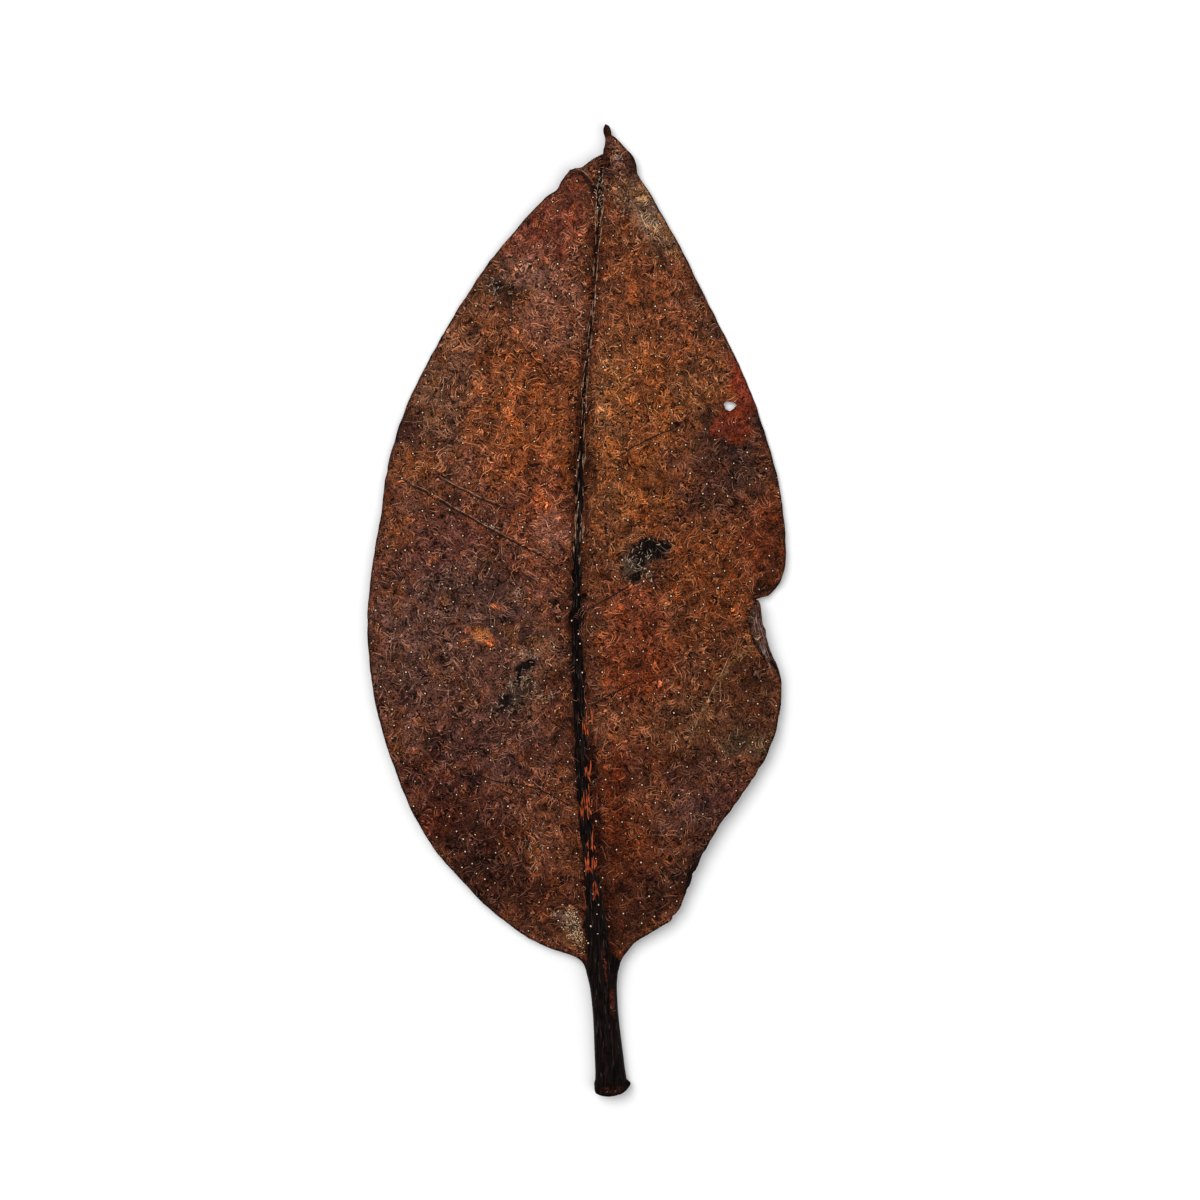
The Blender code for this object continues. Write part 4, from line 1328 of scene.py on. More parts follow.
    def folds(self, tree: Tree, mm: Socket, bent: Socket, tissue: Socket) -> tuple[Socket, Socket]:
        """Bundles of crooked folds, drawn along the level lines of noise and broken into short strokes:
        pale lines of painted highlight with dark lines of painted shade beside them.

        Args:
            tree: The material's node tree.
            mm: Object coordinates in millimetres.
            bent: The same, bent by noise.
            tissue: Colour beneath the folds.

        Returns:
            The colour with the folds, and the folds' height.
        """
        side = add_node(tree, "ShaderNodeAttribute", attribute_name="side").outputs["Fac"]
        # Pale lines: painted highlight along each fold
        pale = add_node(
            tree, VECTOR,
            {0: tissue, 1: (3.1, 3.4, 3.2), 2: (0.024, 0.020, 0.015)}, operation="MULTIPLY_ADD",
        ).outputs["Vector"]
        # Dark lines: painted shade beside each fold
        deep = add_node(tree, VECTOR, {0: tissue, "Scale": 0.06}, operation="SCALE").outputs["Vector"]
        bundles = add_node(
            tree, NOISE, {"Vector": mm, "Scale": 0.60, "Detail": 1.0, "W": 40.0},
            noise_dimensions="4D",
        ).outputs["Fac"]
        colour, height = tissue, None
        for layer, (scale, low, high, highlight_share, shade_share) in enumerate((
            (1.0, 0.50, 0.56, 0.90, 0.92), (1.3, 0.47, 0.41, 0.85, 0.90),
        )):
            levels = add_node(
                tree, NOISE,
                {"Vector": bent, "Scale": scale / self.bundle_mm, "Detail": 1.6, "W": 20.0 + 3 * layer},
                noise_dimensions="4D",
            ).outputs["Fac"]
            phase = add_node(
                tree, MATH, {0: levels, 1: self.folds_per_bundle}, operation="MULTIPLY"
            ).outputs["Value"]
            swing = add_node(tree, MATH, {0: phase, 1: 0.5}, operation="PINGPONG").outputs["Value"]
            here = add_node(
                tree, RANGE, {"Value": bundles, "From Min": low, "From Max": high}
            ).outputs["Result"]
            breaks = add_node(
                tree, NOISE, {"Vector": mm, "Scale": 0.85, "Detail": 1.0, "W": 50.0 + layer},
                noise_dimensions="4D",
            ).outputs["Fac"]
            whole = add_node(
                tree, RANGE, {"Value": breaks, "From Min": 0.42, "From Max": 0.52}
            ).outputs["Result"]
            kept = add_node(tree, MATH, {0: here, 1: whole}, operation="MULTIPLY").outputs["Value"]
            shown = add_node(tree, MATH, {0: kept, 1: side}, operation="MULTIPLY").outputs["Value"]
            for centre, share, tint in ((0.0, highlight_share, pale), (0.24, shade_share, deep)):
                off = add_node(tree, MATH, {0: swing, 1: centre}, operation="SUBTRACT").outputs["Value"]
                size = add_node(tree, MATH, {0: off}, operation="ABSOLUTE").outputs["Value"]
                line = add_node(
                    tree, RANGE,
                    {
                        "Value": size, "From Min": 0.4 * self.fold_width, "From Max": self.fold_width,
                        "To Min": share, "To Max": 0.0,
                    },
                ).outputs["Result"]
                stroke = add_node(tree, MATH, {0: line, 1: shown}, operation="MULTIPLY").outputs["Value"]
                colour = add_node(
                    tree, MIX, {0: stroke, "A": colour, "B": tint}, data_type="RGBA"
                ).outputs["Result"]
                height = stroke if height is None else add_node(
                    tree, MATH, {0: height, 1: stroke}, operation="SUBTRACT" if centre else "ADD"
                ).outputs["Value"]
        return colour, height

    def blackened(self, tree: Tree, mm: Socket, colour: Socket) -> tuple[Socket, Socket]:
        """Black over the midrib and the stalk, and over the margin as painted shade where it rolls down,
        ragged at its border and streaked lengthwise.

        Args:
            tree: The material's node tree.
            mm: Object coordinates in millimetres.
            colour: Colour beneath the black.

        Returns:
            The colour with the black, and the height of its streaks.
        """
        black = add_node(tree, "ShaderNodeAttribute", attribute_name="black").outputs["Fac"]
        thin = 1 / self.streak_mm
        stretched = add_node(
            tree, "ShaderNodeMapping", {"Vector": mm, "Scale": (thin, 0.35, thin)}
        ).outputs["Vector"]
        streaks = add_node(tree, NOISE, {"Vector": stretched, "Scale": 1.0, "Detail": 3.0}).outputs["Fac"]
        bark = add_node(tree, "ShaderNodeValToRGB", {"Fac": streaks})
        bark.color_ramp.elements[0].position = 0.46
        bark.color_ramp.elements[0].color = linear("#070505")
        bark.color_ramp.elements[1].position = 0.70
        bark.color_ramp.elements[1].color = linear("#261814")
        fray = add_node(
            tree, NOISE, {"Vector": mm, "Scale": 1.7, "Detail": 3.0, "Roughness": 0.65}
        ).outputs["Fac"]
        frayed = add_node(
            tree, MATH, {0: fray, 1: 0.9, 2: black}, operation="MULTIPLY_ADD"
        ).outputs["Value"]
        cover = add_node(
            tree, RANGE, {"Value": frayed, "From Min": 0.80, "From Max": 1.12}
        ).outputs["Result"]
        blackened = add_node(
            tree, MIX, {0: cover, "A": colour, "B": bark.outputs["Color"]}, data_type="RGBA"
        ).outputs["Result"]
        height = add_node(tree, MATH, {0: streaks, 1: cover}, operation="MULTIPLY").outputs["Value"]
        return blackened, height


@dataclass(frozen=True)
class RaisedFoldHighlight:
    """Ridge of shrunken skin, coloured far paler than the leaf beneath as a painted highlight of the light
    it catches.
    """

    # The gain and the added colour brighten the stain colour into the painted highlight
    gain: tuple[float, float, float] = (3.0, 3.4, 3.1)
    bloom_and_highlight: tuple[float, float, float] = (0.034, 0.029, 0.020)
    roughness: float = 0.50
    specular: float = 0.12
    patch_mm: float = 1.4

    def make(self) -> Material:
        """Build the material, which lightens the leaf's own stain colour into a painted highlight."""
        material = new_material("raised_cuticle_fold_highlight", self.roughness, self.specular)
        tree = material.node_tree
        zone = add_node(tree, "ShaderNodeAttribute", attribute_name="zone").outputs["Color"]
        place = add_node(tree, "ShaderNodeTexCoord").outputs["Object"]
        light = add_node(
            tree, VECTOR, {0: zone, 1: self.gain, 2: self.bloom_and_highlight}, operation="MULTIPLY_ADD"
        ).outputs["Vector"]
        cloud = add_node(
            tree, NOISE, {"Vector": place, "Scale": 1 / (self.patch_mm * MM), "Detail": 3.0}
        ).outputs["Fac"]
        shade = add_node(
            tree, RANGE,
            {"Value": cloud, "From Min": 0.38, "From Max": 0.64, "To Min": 0.35, "To Max": 1.65},
        ).outputs["Result"]
        colour = add_node(tree, VECTOR, {0: light, "Scale": shade}, operation="SCALE").outputs["Vector"]
        tree.links.new(colour, tree.nodes[SHADER].inputs["Base Color"])
        return material


@dataclass(frozen=True)
class PlainFinish:
    """A small finish with one base colour that varies a little from place to place."""

    name: str
    tint: str
    deep_tint: str
    roughness: float
    specular: float
    patch_mm: float

    def make(self) -> Material:
        """Build the material: two tints mixed by noise, with the given sheen."""
        material = new_material(self.name, self.roughness, self.specular)
        tree = material.node_tree
        place = add_node(tree, "ShaderNodeTexCoord").outputs["Object"]
        mottle = add_node(
            tree, NOISE, {"Vector": place, "Scale": 1 / (self.patch_mm * MM), "Detail": 3.0}
        ).outputs["Fac"]
        ramp = add_node(tree, "ShaderNodeValToRGB", {"Fac": mottle})
        ramp.color_ramp.elements[0].position = 0.38
        ramp.color_ramp.elements[0].color = linear(self.deep_tint)
        ramp.color_ramp.elements[1].position = 0.62
        ramp.color_ramp.elements[1].color = linear(self.tint)
        tree.links.new(ramp.outputs["Color"], tree.nodes[SHADER].inputs["Base Color"])
        return material


# Beads of wax and dried salt over the pores, coloured near white as a painted glint of the light on them
WAX_BEAD_GLINT = PlainFinish("wax_bead_glint", "#ffe2c0", "#d8ab80", 0.45, 0.15, 1.6)
# Dark, dead tissue around each pore
PORE_COLLAR = PlainFinish("pore_collar", "#23130e", "#120a07", 0.70, 0.10, 0.6)
# Dark line of painted shade where the skin is drawn in over a side vein
VEIN_GROOVE_SHADE = PlainFinish("vein_groove_shade", "#24130e", "#120a08", 0.60, 0.12, 1.2)
# Corky warts of the lower face
CORK_WART = PlainFinish("cork_wart", "#2c1a12", "#180f0b", 0.80, 0.15, 0.5)
# Grains of pale mineral crust
MINERAL_CRUST = PlainFinish("mineral_crust", "#dcc29c", "#94785a", 0.85, 0.10, 0.4)
# Threads of torn skin at the dead spots, bleached nearly white; a few patches of them are painted glints
SCAR_THREAD_AND_GLINT = PlainFinish("bleached_skin_thread_and_glint", "#cdbba6", "#7d6554", 0.60, 0.10, 0.6)
# Wrinkles of the folded strip, greyer because the lower face has less wax
STRIP_WRINKLE = PlainFinish("strip_wrinkle", "#a88c82", "#5e473f", 0.60, 0.10, 0.7)
# Threads of torn skin along the midrib, pale where the wax is rubbed off
RIB_THREAD = PlainFinish("torn_skin_thread", "#c29b7c", "#60402f", 0.60, 0.10, 0.7)
# Ridges of the black stalk and midrib, coloured a dull grey brown as a painted glint along them
STALK_RIDGE_GLINT = PlainFinish("stalk_ridge_glint", "#473a35", "#110d0c", 0.50, 0.15, 0.8)
# Torn fibres of the midrib, rust orange where the black skin is gone
BARED_FIBRE = PlainFinish("bared_midrib_fibre", "#c4592a", "#6d2a14", 0.60, 0.10, 0.9)


@dataclass
class Scatter:
    """Something small repeated over the leaf by a Geometry Nodes tree that reads one of its masks."""

    name: str = "scatter"
    mask: str = "wrinkle"
    spacing_mm: float = 1.0
    seed: int = 1
    spent_marks: tuple[str, ...] = ("OFBake", "black", "side", "wrinkle", "glint_speck", "wart", "bloom_and_highlight")

    def tree(self) -> Tree:
        """A tree with a geometry input, a spacing and a seed, and a geometry output."""
        tree = bpy.data.node_groups.new(self.name, "GeometryNodeTree")
        tree.interface.new_socket("Geometry", in_out="INPUT", socket_type="NodeSocketGeometry")
        tree.interface.new_socket("Spacing", in_out="INPUT", socket_type="NodeSocketFloat")
        tree.interface.new_socket("Seed", in_out="INPUT", socket_type="NodeSocketInt")
        tree.interface.new_socket("Geometry", in_out="OUTPUT", socket_type="NodeSocketGeometry")
        source = add_node(tree, "NodeGroupInput")
        share = add_node(tree, "GeometryNodeInputNamedAttribute", {"Name": self.mask}, data_type="FLOAT")
        points = add_node(
            tree, "GeometryNodeDistributePointsOnFaces",
            {
                "Mesh": source.outputs["Geometry"],
                "Distance Min": source.outputs["Spacing"],
                "Density Max": 1.2 / (self.spacing_mm * MM) ** 2,
                "Density Factor": share.outputs["Attribute"],
                "Seed": source.outputs["Seed"],
            },
            distribute_method="POISSON",
        )
        spin = add_node(
            tree, RANDOM, {"Max": 2 * math.pi, "Seed": source.outputs["Seed"]}, data_type="FLOAT"
        )
        about = add_node(tree, "ShaderNodeCombineXYZ", {"Z": spin.outputs[1]})
        turned = add_node(
            tree, "FunctionNodeRotateRotation",
            {"Rotation": points.outputs["Rotation"], "Rotate By": about.outputs["Vector"]},
            rotation_space="LOCAL",
        )
        made = self.shape(tree, source, points.outputs["Points"], turned.outputs["Rotation"])
        add_node(tree, "NodeGroupOutput", {"Geometry": made})
        return tree

    def shape(self, tree: Tree, source: Node, points: Socket, rotation: Socket) -> Socket:
        """Instances on the points, realized and with their material."""
        raise NotImplementedError

    def build(self, leaf: Piece) -> Piece:
        """Run the tree on the leaf's mesh and keep the result as a plain mesh.

        Args:
            leaf: The finished leaf, whose masks the tree reads.

        Returns:
            The piece's object, at the origin.
        """
        carrier = new_object(f"{self.name}_carrier", leaf.data)
        modifier = carrier.modifiers.new(self.name, "NODES")
        modifier.node_group = self.tree()
        sockets = {
            item.name: item.identifier
            for item in modifier.node_group.interface.items_tree
            if item.item_type == "SOCKET" and item.in_out == "INPUT"
        }
        modifier[sockets["Spacing"]] = self.spacing_mm * MM
        modifier[sockets["Seed"]] = self.seed
        depsgraph = bpy.context.evaluated_depsgraph_get()
        mesh = bpy.data.meshes.new_from_object(carrier.evaluated_get(depsgraph), depsgraph=depsgraph)
        mesh.name = self.name
        for mark in [attribute.name for attribute in mesh.attributes if attribute.name in self.spent_marks]:
            mesh.attributes.remove(mesh.attributes[mark])
        carrier.modifiers.remove(modifier)
        bpy.data.objects.remove(carrier)
        return new_object(self.name, mesh)


@dataclass
class CuticleFolds(Scatter):
    """Short crooked ridges of dried skin that hug the upper face, alone or a few side by side."""

    name: str = "cuticle_folds"
    mask: str = "wrinkle"
    spacing_mm: float = 0.88
    seed: int = 3
    half_width_mm: float = 0.056
    steps: int = 6
    arc: Path = ((-0.70, 0.0), (-0.30, 0.28), (0.30, 0.28), (0.70, 0.0))
    hook: Path = ((-0.75, 0.0), (0.10, 0.10), (0.70, 0.05), (0.50, 0.60))
    wave: Path = ((-0.80, 0.0), (-0.25, 0.55), (0.25, -0.50), (0.80, 0.05))
    curl: Path = ((-0.10, -0.05), (-0.35, 0.55), (0.50, 0.65), (0.30, 0.05))
    straight: Path = ((-1.0, 0.0), (-0.35, 0.10), (0.35, 0.06), (1.0, -0.05))
    bundle_gap: float = 0.42

    def variants(self) -> list[list[Path]]:
        """Groups of strokes, each of which is laid as one."""
        groups = [[self.arc], [self.hook], [self.wave], [self.curl], [self.straight]]
        for shape, count in ((self.arc, 2), (self.arc, 3), (self.hook, 2)):
            groups.append([
                tuple((x * (1 - 0.18 * k), y + k * self.bundle_gap) for x, y in shape) for k in range(count)
            ])
        return groups

    def shape(self, tree: Tree, source: Node, points: Socket, rotation: Socket) -> Socket:
        """Curved strokes on the points, drawn down to the skin and given a three-sided section."""
        choices = add_node(tree, "GeometryNodeGeometryToInstance")
        for group in self.variants():
            strokes = add_node(tree, "GeometryNodeJoinGeometry")
            for stroke in group:
                corners = [(x * MM, y * MM, 0) for x, y in stroke]
                curve = add_node(
                    tree, "GeometryNodeCurvePrimitiveBezierSegment",
                    {
                        "Resolution": self.steps, "Start": corners[0], "Start Handle": corners[1],
                        "End Handle": corners[2], "End": corners[3],
                    },
                )
                straightened = add_node(
                    tree, "GeometryNodeResampleCurve", {"Curve": curve.outputs["Curve"]}, mode="EVALUATED"
                )
                tree.links.new(straightened.outputs["Curve"], strokes.inputs["Geometry"])
            tree.links.new(strokes.outputs["Geometry"], choices.inputs["Geometry"])
        length = add_node(tree, RANDOM, {2: 0.60, 3: 1.45, "Seed": 5}, data_type="FLOAT").outputs[1]
        placed = add_node(
            tree, "GeometryNodeInstanceOnPoints",
            {
                "Points": points,
                "Instance": choices.outputs["Instances"],
                "Pick Instance": True,
                "Rotation": rotation,
                "Scale": length,
            },
        )
        laid = add_node(tree, "GeometryNodeRealizeInstances", {"Geometry": placed.outputs["Instances"]})
        skin = add_node(
            tree, "GeometryNodeProximity", {0: source.outputs["Geometry"]}, target_element="FACES"
        )
        hugging = add_node(
            tree, "GeometryNodeSetPosition",
            {"Geometry": laid.outputs["Geometry"], "Position": skin.outputs["Position"]},
        )
        upright = add_node(
            tree, "GeometryNodeSetCurveNormal", {"Curve": hugging.outputs["Geometry"]}, mode="Z_UP"
        )
        along = add_node(tree, "GeometryNodeSplineParameter")
        swing = add_node(tree, MATH, {0: along.outputs["Factor"], 1: math.pi}, operation="MULTIPLY")
        swell = add_node(tree, MATH, {0: swing.outputs["Value"]}, operation="SINE")
        taper = add_node(
            tree, MATH, {0: swell.outputs["Value"], 1: 0.75, 2: 0.25}, operation="MULTIPLY_ADD"
        )
        section = add_node(
            tree, "GeometryNodeCurvePrimitiveCircle", {"Resolution": 3, "Radius": self.half_width_mm * MM}
        )
        tube = add_node(
            tree, "GeometryNodeCurveToMesh",
            {
                "Curve": upright.outputs["Curve"],
                "Profile Curve": section.outputs["Curve"],
                "Scale": taper.outputs["Value"],
                "Fill Caps": True,
            },
        )
        # The ridges are coloured as a painted highlight
        dressed = {"Geometry": tube.outputs["Mesh"], "Material": RaisedFoldHighlight().make()}
        return add_node(tree, "GeometryNodeSetMaterial", dressed).outputs["Geometry"]


@dataclass
class Beads(Scatter):
    """Low round beads, each of which may sit on a wider, darker collar."""

    radius_mm: float = 0.12
    flatness: float = 0.55
    least_size: float = 0.45
    most_size: float = 1.20
    finish: PlainFinish = WAX_BEAD_GLINT
    collar: PlainFinish | None = None
    collar_width: float = 2.1

    def shape(self, tree: Tree, source: Node, points: Socket, rotation: Socket) -> Socket:
        """Flattened balls on the points, with collars under them where these are asked for."""
        size = add_node(
            tree, RANDOM,
            {2: self.least_size, 3: self.most_size, "Seed": source.outputs["Seed"]}, data_type="FLOAT",
        ).outputs[1]
        joined = add_node(tree, "GeometryNodeJoinGeometry")
        layers = [(self.finish, self.radius_mm, self.radius_mm * self.flatness)]
        if self.collar:
            layers.append((self.collar, self.radius_mm * self.collar_width, self.radius_mm * 0.35))
        for finish, radius, height in layers:
            ball = add_node(tree, "GeometryNodeMeshIcoSphere", {"Radius": 1.0, "Subdivisions": 1})
            flattened = add_node(
                tree, "GeometryNodeTransform",
                {"Geometry": ball.outputs["Mesh"], "Scale": (radius * MM, radius * MM, height * MM)},
            )
            dressed = add_node(
                tree, "GeometryNodeSetMaterial",
                {"Geometry": flattened.outputs["Geometry"], "Material": finish.make()},
            ).outputs["Geometry"]
            placed = add_node(
                tree, "GeometryNodeInstanceOnPoints",
                {"Points": points, "Instance": dressed, "Rotation": rotation, "Scale": size},
            )
            tree.links.new(placed.outputs["Instances"], joined.inputs["Geometry"])
        return add_node(
            tree, "GeometryNodeRealizeInstances", {"Geometry": joined.outputs["Geometry"]}
        ).outputs["Geometry"]


@dataclass
class SkinTubes:
    """Thin closed tubes on the leaf's upper face, tapered towards both ends."""

    name: str
    sides: int
    end_share: float = 0.15
    taper: float = 0.6
    stand: float = 0.35
    verts: list[tuple[float, float, float]] = field(default_factory=list)
    faces: list[tuple[int, ...]] = field(default_factory=list)

    def lay(self, leaf: Piece, path: Points, half_width: float, flatness: float) -> None:
        """Lay one tube, or none where its path runs off the leaf.

        Args:
            leaf: The finished leaf that it lies on.
            path: Flat points along it, in millimetres.
            half_width: Half its width at its middle, in millimetres.
            flatness: Its height as a share of its width.
        """
        hits = [leaf.ray_cast(Vector((x * MM, y * MM, RAY_START)), Vector((0, 0, -1))) for x, y in path]
        if not all(hit[0] for hit in hits):
            return
        first = len(self.verts)
        run = np.gradient(path, axis=0)
        across = np.column_stack([-run[:, 1], run[:, 0]]) / np.hypot(run[:, 0], run[:, 1])[:, None]
        for step, (x, y) in enumerate(path):
            t = step / (len(path) - 1)
            swell = math.sin(math.pi * t) ** self.taper
            radius = half_width * (self.end_share + (1 - self.end_share) * swell) * MM
            for side in range(self.sides):
                angle = 2 * math.pi * side / self.sides
                reach = radius * math.cos(angle)
                self.verts.append((
                    x * MM + reach * across[step, 0],
                    y * MM + reach * across[step, 1],
                    hits[step][1].z + flatness * radius * (self.stand + math.sin(angle)),
                ))
        for step in range(len(path) - 1):
            for side in range(self.sides):
                a = first + step * self.sides + side
                b = first + step * self.sides + (side + 1) % self.sides
                self.faces.append((a, a + self.sides, b + self.sides, b))
        self.faces.append(tuple(first + side for side in range(self.sides)))
        last = first + (len(path) - 1) * self.sides
        self.faces.append(tuple(last + side for side in reversed(range(self.sides))))

    def mesh(self, finish: PlainFinish) -> Piece:
        """Make one mesh of all tubes, in a finish."""
        mesh = bpy.data.meshes.new(self.name)
        mesh.from_pydata(self.verts, [], self.faces)
        mesh.materials.append(finish.make())
        mesh.shade_smooth()
        return new_object(self.name, mesh)


@dataclass
class LaidPiece:
    """A piece made of thin tubes that are laid on the leaf's upper face, all in one finish."""

    name: str
    finish: PlainFinish
    half_width: float
    flatness: float = 0.5
    sides: int = 4
    seed: int = SEED

    def tubes(self, dice: random.Random) -> Iterator[tuple[Points, float]]:
        """The flat path and the half width of each tube."""
        raise NotImplementedError

    def build(self, leaf: Piece) -> Piece:
        """Lay the tubes.

        Args:
            leaf: The finished leaf, which they are laid on.

        Returns:
            The piece's object, at the origin.
        """
        laid = SkinTubes(self.name, self.sides)
        for path, half_width in self.tubes(random.Random(self.seed)):
            laid.lay(leaf, path, half_width, self.flatness)
        return laid.mesh(self.finish)


@dataclass(frozen=True)
class FibreBundle:
    """A place in the midrib where its skin is gone: limits across and along, and how many fibres show."""

    left: float
    right: float
    top: float
    bottom: float
    count: int


@dataclass
class BaredFibres(LaidPiece):
    """Rust-orange fibres that lie side by side along the midrib."""

    name: str = "bared_fibres"
    finish: PlainFinish = BARED_FIBRE
    half_width: float = 0.095
    sides: int = 6
    seed: int = 12
    bundles: tuple[FibreBundle, ...] = (
        FibreBundle(0.9, 2.1, -14.2, -18.7, 6),
        FibreBundle(1.3, 1.9, -22.6, -25.0, 4),
        FibreBundle(0.5, 2.2, -26.0, -31.3, 11),
        FibreBundle(1.4, 2.7, -33.0, -34.8, 5),
        FibreBundle(1.2, 3.0, -35.4, -38.8, 9),
        FibreBundle(2.4, 3.1, -39.2, -42.6, 5),
        FibreBundle(1.0, 3.0, -14.0, -47.0, 8),
    )
    longest: float = 4.0
    points: int = 13

    def tubes(self, dice: random.Random) -> Iterator[tuple[Points, float]]:
        """The flat path and the half width of each fibre."""
        t = np.linspace(0, 1, self.points)
        for bundle in self.bundles:
            for k in range(bundle.count):
                share = (k + 0.5) / bundle.count
                x = bundle.left + (bundle.right - bundle.left) * share + dice.uniform(-0.12, 0.12)
                length = min(bundle.top - bundle.bottom, self.longest) * dice.uniform(0.25, 0.85)
                start = bundle.top - dice.uniform(0, 1) * (bundle.top - bundle.bottom - length)
                sway = 0.06 * np.sin(5 * t + 9 * x) + dice.uniform(-0.15, 0.25) * t
                path = np.column_stack([x + sway, start - length * t])
                yield path, self.half_width * dice.uniform(0.6, 1.3)


@dataclass
class SkinThreads(LaidPiece):
    """Short pale threads of torn skin beside the midrib, or ridges along the stalk coloured as painted
    glints.
    """

    name: str = "rib_threads"
    finish: PlainFinish = RIB_THREAD
    half_width: float = 0.055
    seed: int = 17
    midrib: Midrib = Midrib()
    bottom: float = 6.0
    top: float = 62.5
    count: int = 100
    spread: Stations = Stations(((6.0, 0.75), (30.0, 0.50), (52.0, 0.42), (56.0, 0.62), (62.5, 0.60)))
    clear: float = 0.25
    shortest: float = 0.5
    longest: float = 2.6
    points: int = 9

    def tubes(self, dice: random.Random) -> Iterator[tuple[Points, float]]:
        """The flat path and the half width of each thread."""
        for _ in range(self.count):
            length = dice.uniform(self.shortest, self.longest)
            y = dice.uniform(self.bottom, self.top - length) + length * np.linspace(0, 1, self.points)
            reach = dice.choice((-1, 1)) * dice.uniform(self.clear, 1.0)
            sway = 0.10 * np.array([noise.noise(Vector((reach * 7, v / 1.1, 3.0))) for v in y])
            x = self.midrib.middle.at(y) + reach * self.spread.at(y) + sway
            yield np.column_stack([x, y]), self.half_width * dice.uniform(0.6, 1.25)


@dataclass(frozen=True)
class ScarPatch:
    """A patch of torn skin beside a dead spot: middle, radii and how many threads stand up in it."""

    x: float
    y: float
    across: float
    along: float
    count: int


@dataclass
class ScarThreads(LaidPiece):
    """Short bright threads of torn skin that curl every way around the dead spots, and in two patches
    painted glints.
    """

    name: str = "scar_threads_and_glints"
    finish: PlainFinish = SCAR_THREAD_AND_GLINT
    half_width: float = 0.05
    flatness: float = 0.6
    seed: int = 41
    patches: tuple[ScarPatch, ...] = (
        ScarPatch(8.9, 7.6, 1.8, 1.6, 34),
        ScarPatch(9.6, 5.6, 1.6, 1.2, 16),
        ScarPatch(13.6, 10.2, 1.2, 1.2, 10),
        ScarPatch(-7.6, -6.6, 2.6, 1.4, 22),
        ScarPatch(-9, -9.6, 2.2, 2, 22),
        ScarPatch(-10, -14, 2.4, 2.2, 24),
        ScarPatch(-6, -12.4, 2.2, 2, 18),
        # Painted glints
        ScarPatch(-3.3, -12.3, 0.9, 0.7, 9),
        ScarPatch(-12, 46.6, 2.4, 2.6, 26),
        ScarPatch(5.6, 59, 2, 3, 22),
        ScarPatch(10.4, 56.6, 1.4, 3.4, 26),
        # Painted glints along the top of the midrib
        ScarPatch(3.3, 61, 0.8, 5, 26),
        ScarPatch(-10.6, 11.8, 3, 3, 10),
        ScarPatch(-6, -33, 2.6, 4, 22),
        ScarPatch(10.6, 57.4, 1.9, 4.4, 26),
        ScarPatch(5.4, 65.4, 1.2, 2.2, 8),
    )
    shortest: float = 0.35
    longest: float = 1.0
    curl: float = 1.6
    points: int = 7

    def tubes(self, dice: random.Random) -> Iterator[tuple[Points, float]]:
        """The flat path and the half width of each thread."""
        t = np.linspace(0, 1, self.points)
        for patch in self.patches:
            for _ in range(patch.count):
                start = (dice.gauss(patch.x, patch.across / 2), dice.gauss(patch.y, patch.along / 2))
                length = dice.uniform(self.shortest, self.longest)
                heading = dice.uniform(0, 2 * math.pi) + dice.uniform(-self.curl, self.curl) * t
                steps = length / self.points * np.column_stack([np.cos(heading), np.sin(heading)])
                yield np.cumsum(steps, axis=0) + start, self.half_width * dice.uniform(0.6, 1.2)


@dataclass
class StripStreaks(LaidPiece):
    """Pale lengthwise wrinkles on the folded-over strip, which shows the leaf's lower face."""

    name: str = "strip_streaks"
    finish: PlainFinish = STRIP_WRINKLE
    half_width: float = 0.05
    seed: int = 29
    strip: FoldedStrip = FoldedStrip()
    count: int = 16
    nearest: float = -0.35
    farthest: float = 0.55
    shortest: float = 1.0
    longest: float = 3.4
    end_gap: float = 0.6
    points: int = 9

    def tubes(self, dice: random.Random) -> Iterator[tuple[Points, float]]:
        """The flat path and the half width of each wrinkle."""
        t = np.linspace(0, 1, self.points)
        for _ in range(self.count):
            length = dice.uniform(self.shortest, self.longest)
            low = self.strip.bottom_y + self.end_gap
            high = self.strip.top_y - self.end_gap - length
            y = dice.uniform(low, high) + length * t
            reach = dice.uniform(self.nearest, self.farthest)
            x = self.strip.line.at(y) + reach + 0.06 * np.sin(2.2 * y + 5 * reach)
            yield np.column_stack([x, y]), self.half_width * dice.uniform(0.7, 1.2)


# Dark lines of painted shade drawn in along the few side veins that show from above, and around the lobe
# left of the tip
VEIN_PATHS = (
    ((0.3, 4.4), (-2.3, 5.9), (-4.9, 7.7), (-11.1, 10.9), (-17.6, 14.5), (-23.9, 18.1), (-27.0, 19.9)),
    ((-9.2, 14.0), (-10.1, 14.5), (-15.4, 16.8), (-20.2, 19.3)),
    ((-0.5, -28.6), (-6.0, -25.8), (-11.1, -24.9), (-15.4, -23.6)),
    ((1.2, -0.2), (4.9, 1.9), (8.6, 4.3)),
    ((-3.4, 32.4), (-5.0, 34.9), (-8.2, 38.7)),
    ((10.2, -39.2), (11.8, -40.6), (13.1, -42.5)),
    ((21.0, -23.4), (24.0, -22.7), (27.0, -22.3)),
    ((4.6, 21.3), (9.8, 24.4), (15.4, 26.9)),
    ((1.9, -14.0), (6.5, -11.4), (10.4, -9.8)),
    ((-0.8, 63.8), (0.3, 63.5), (1.2, 62.7), (2.0, 61.8), (2.9, 60.2)),
)
# Pale edges of painted highlight: the lit bend below the folded strip, and the lit side of the clearest
# dark lines
LIP_PATHS = (
    ((16.7, -18.2), (18.2, -14.6), (20.3, -10.4), (22.2, -6.6), (23.7, -3.7)),
    ((-7.0, 9.2), (-11.0, 11.1), (-17.5, 14.8), (-22.1, 17.5), (-27.3, 20.3)),
    ((-10.3, 14.9), (-15.4, 17.1), (-20.2, 19.6)),
    ((-0.1, 64.1), (0.9, 63.7), (1.7, 62.9), (2.6, 61.6)),
)


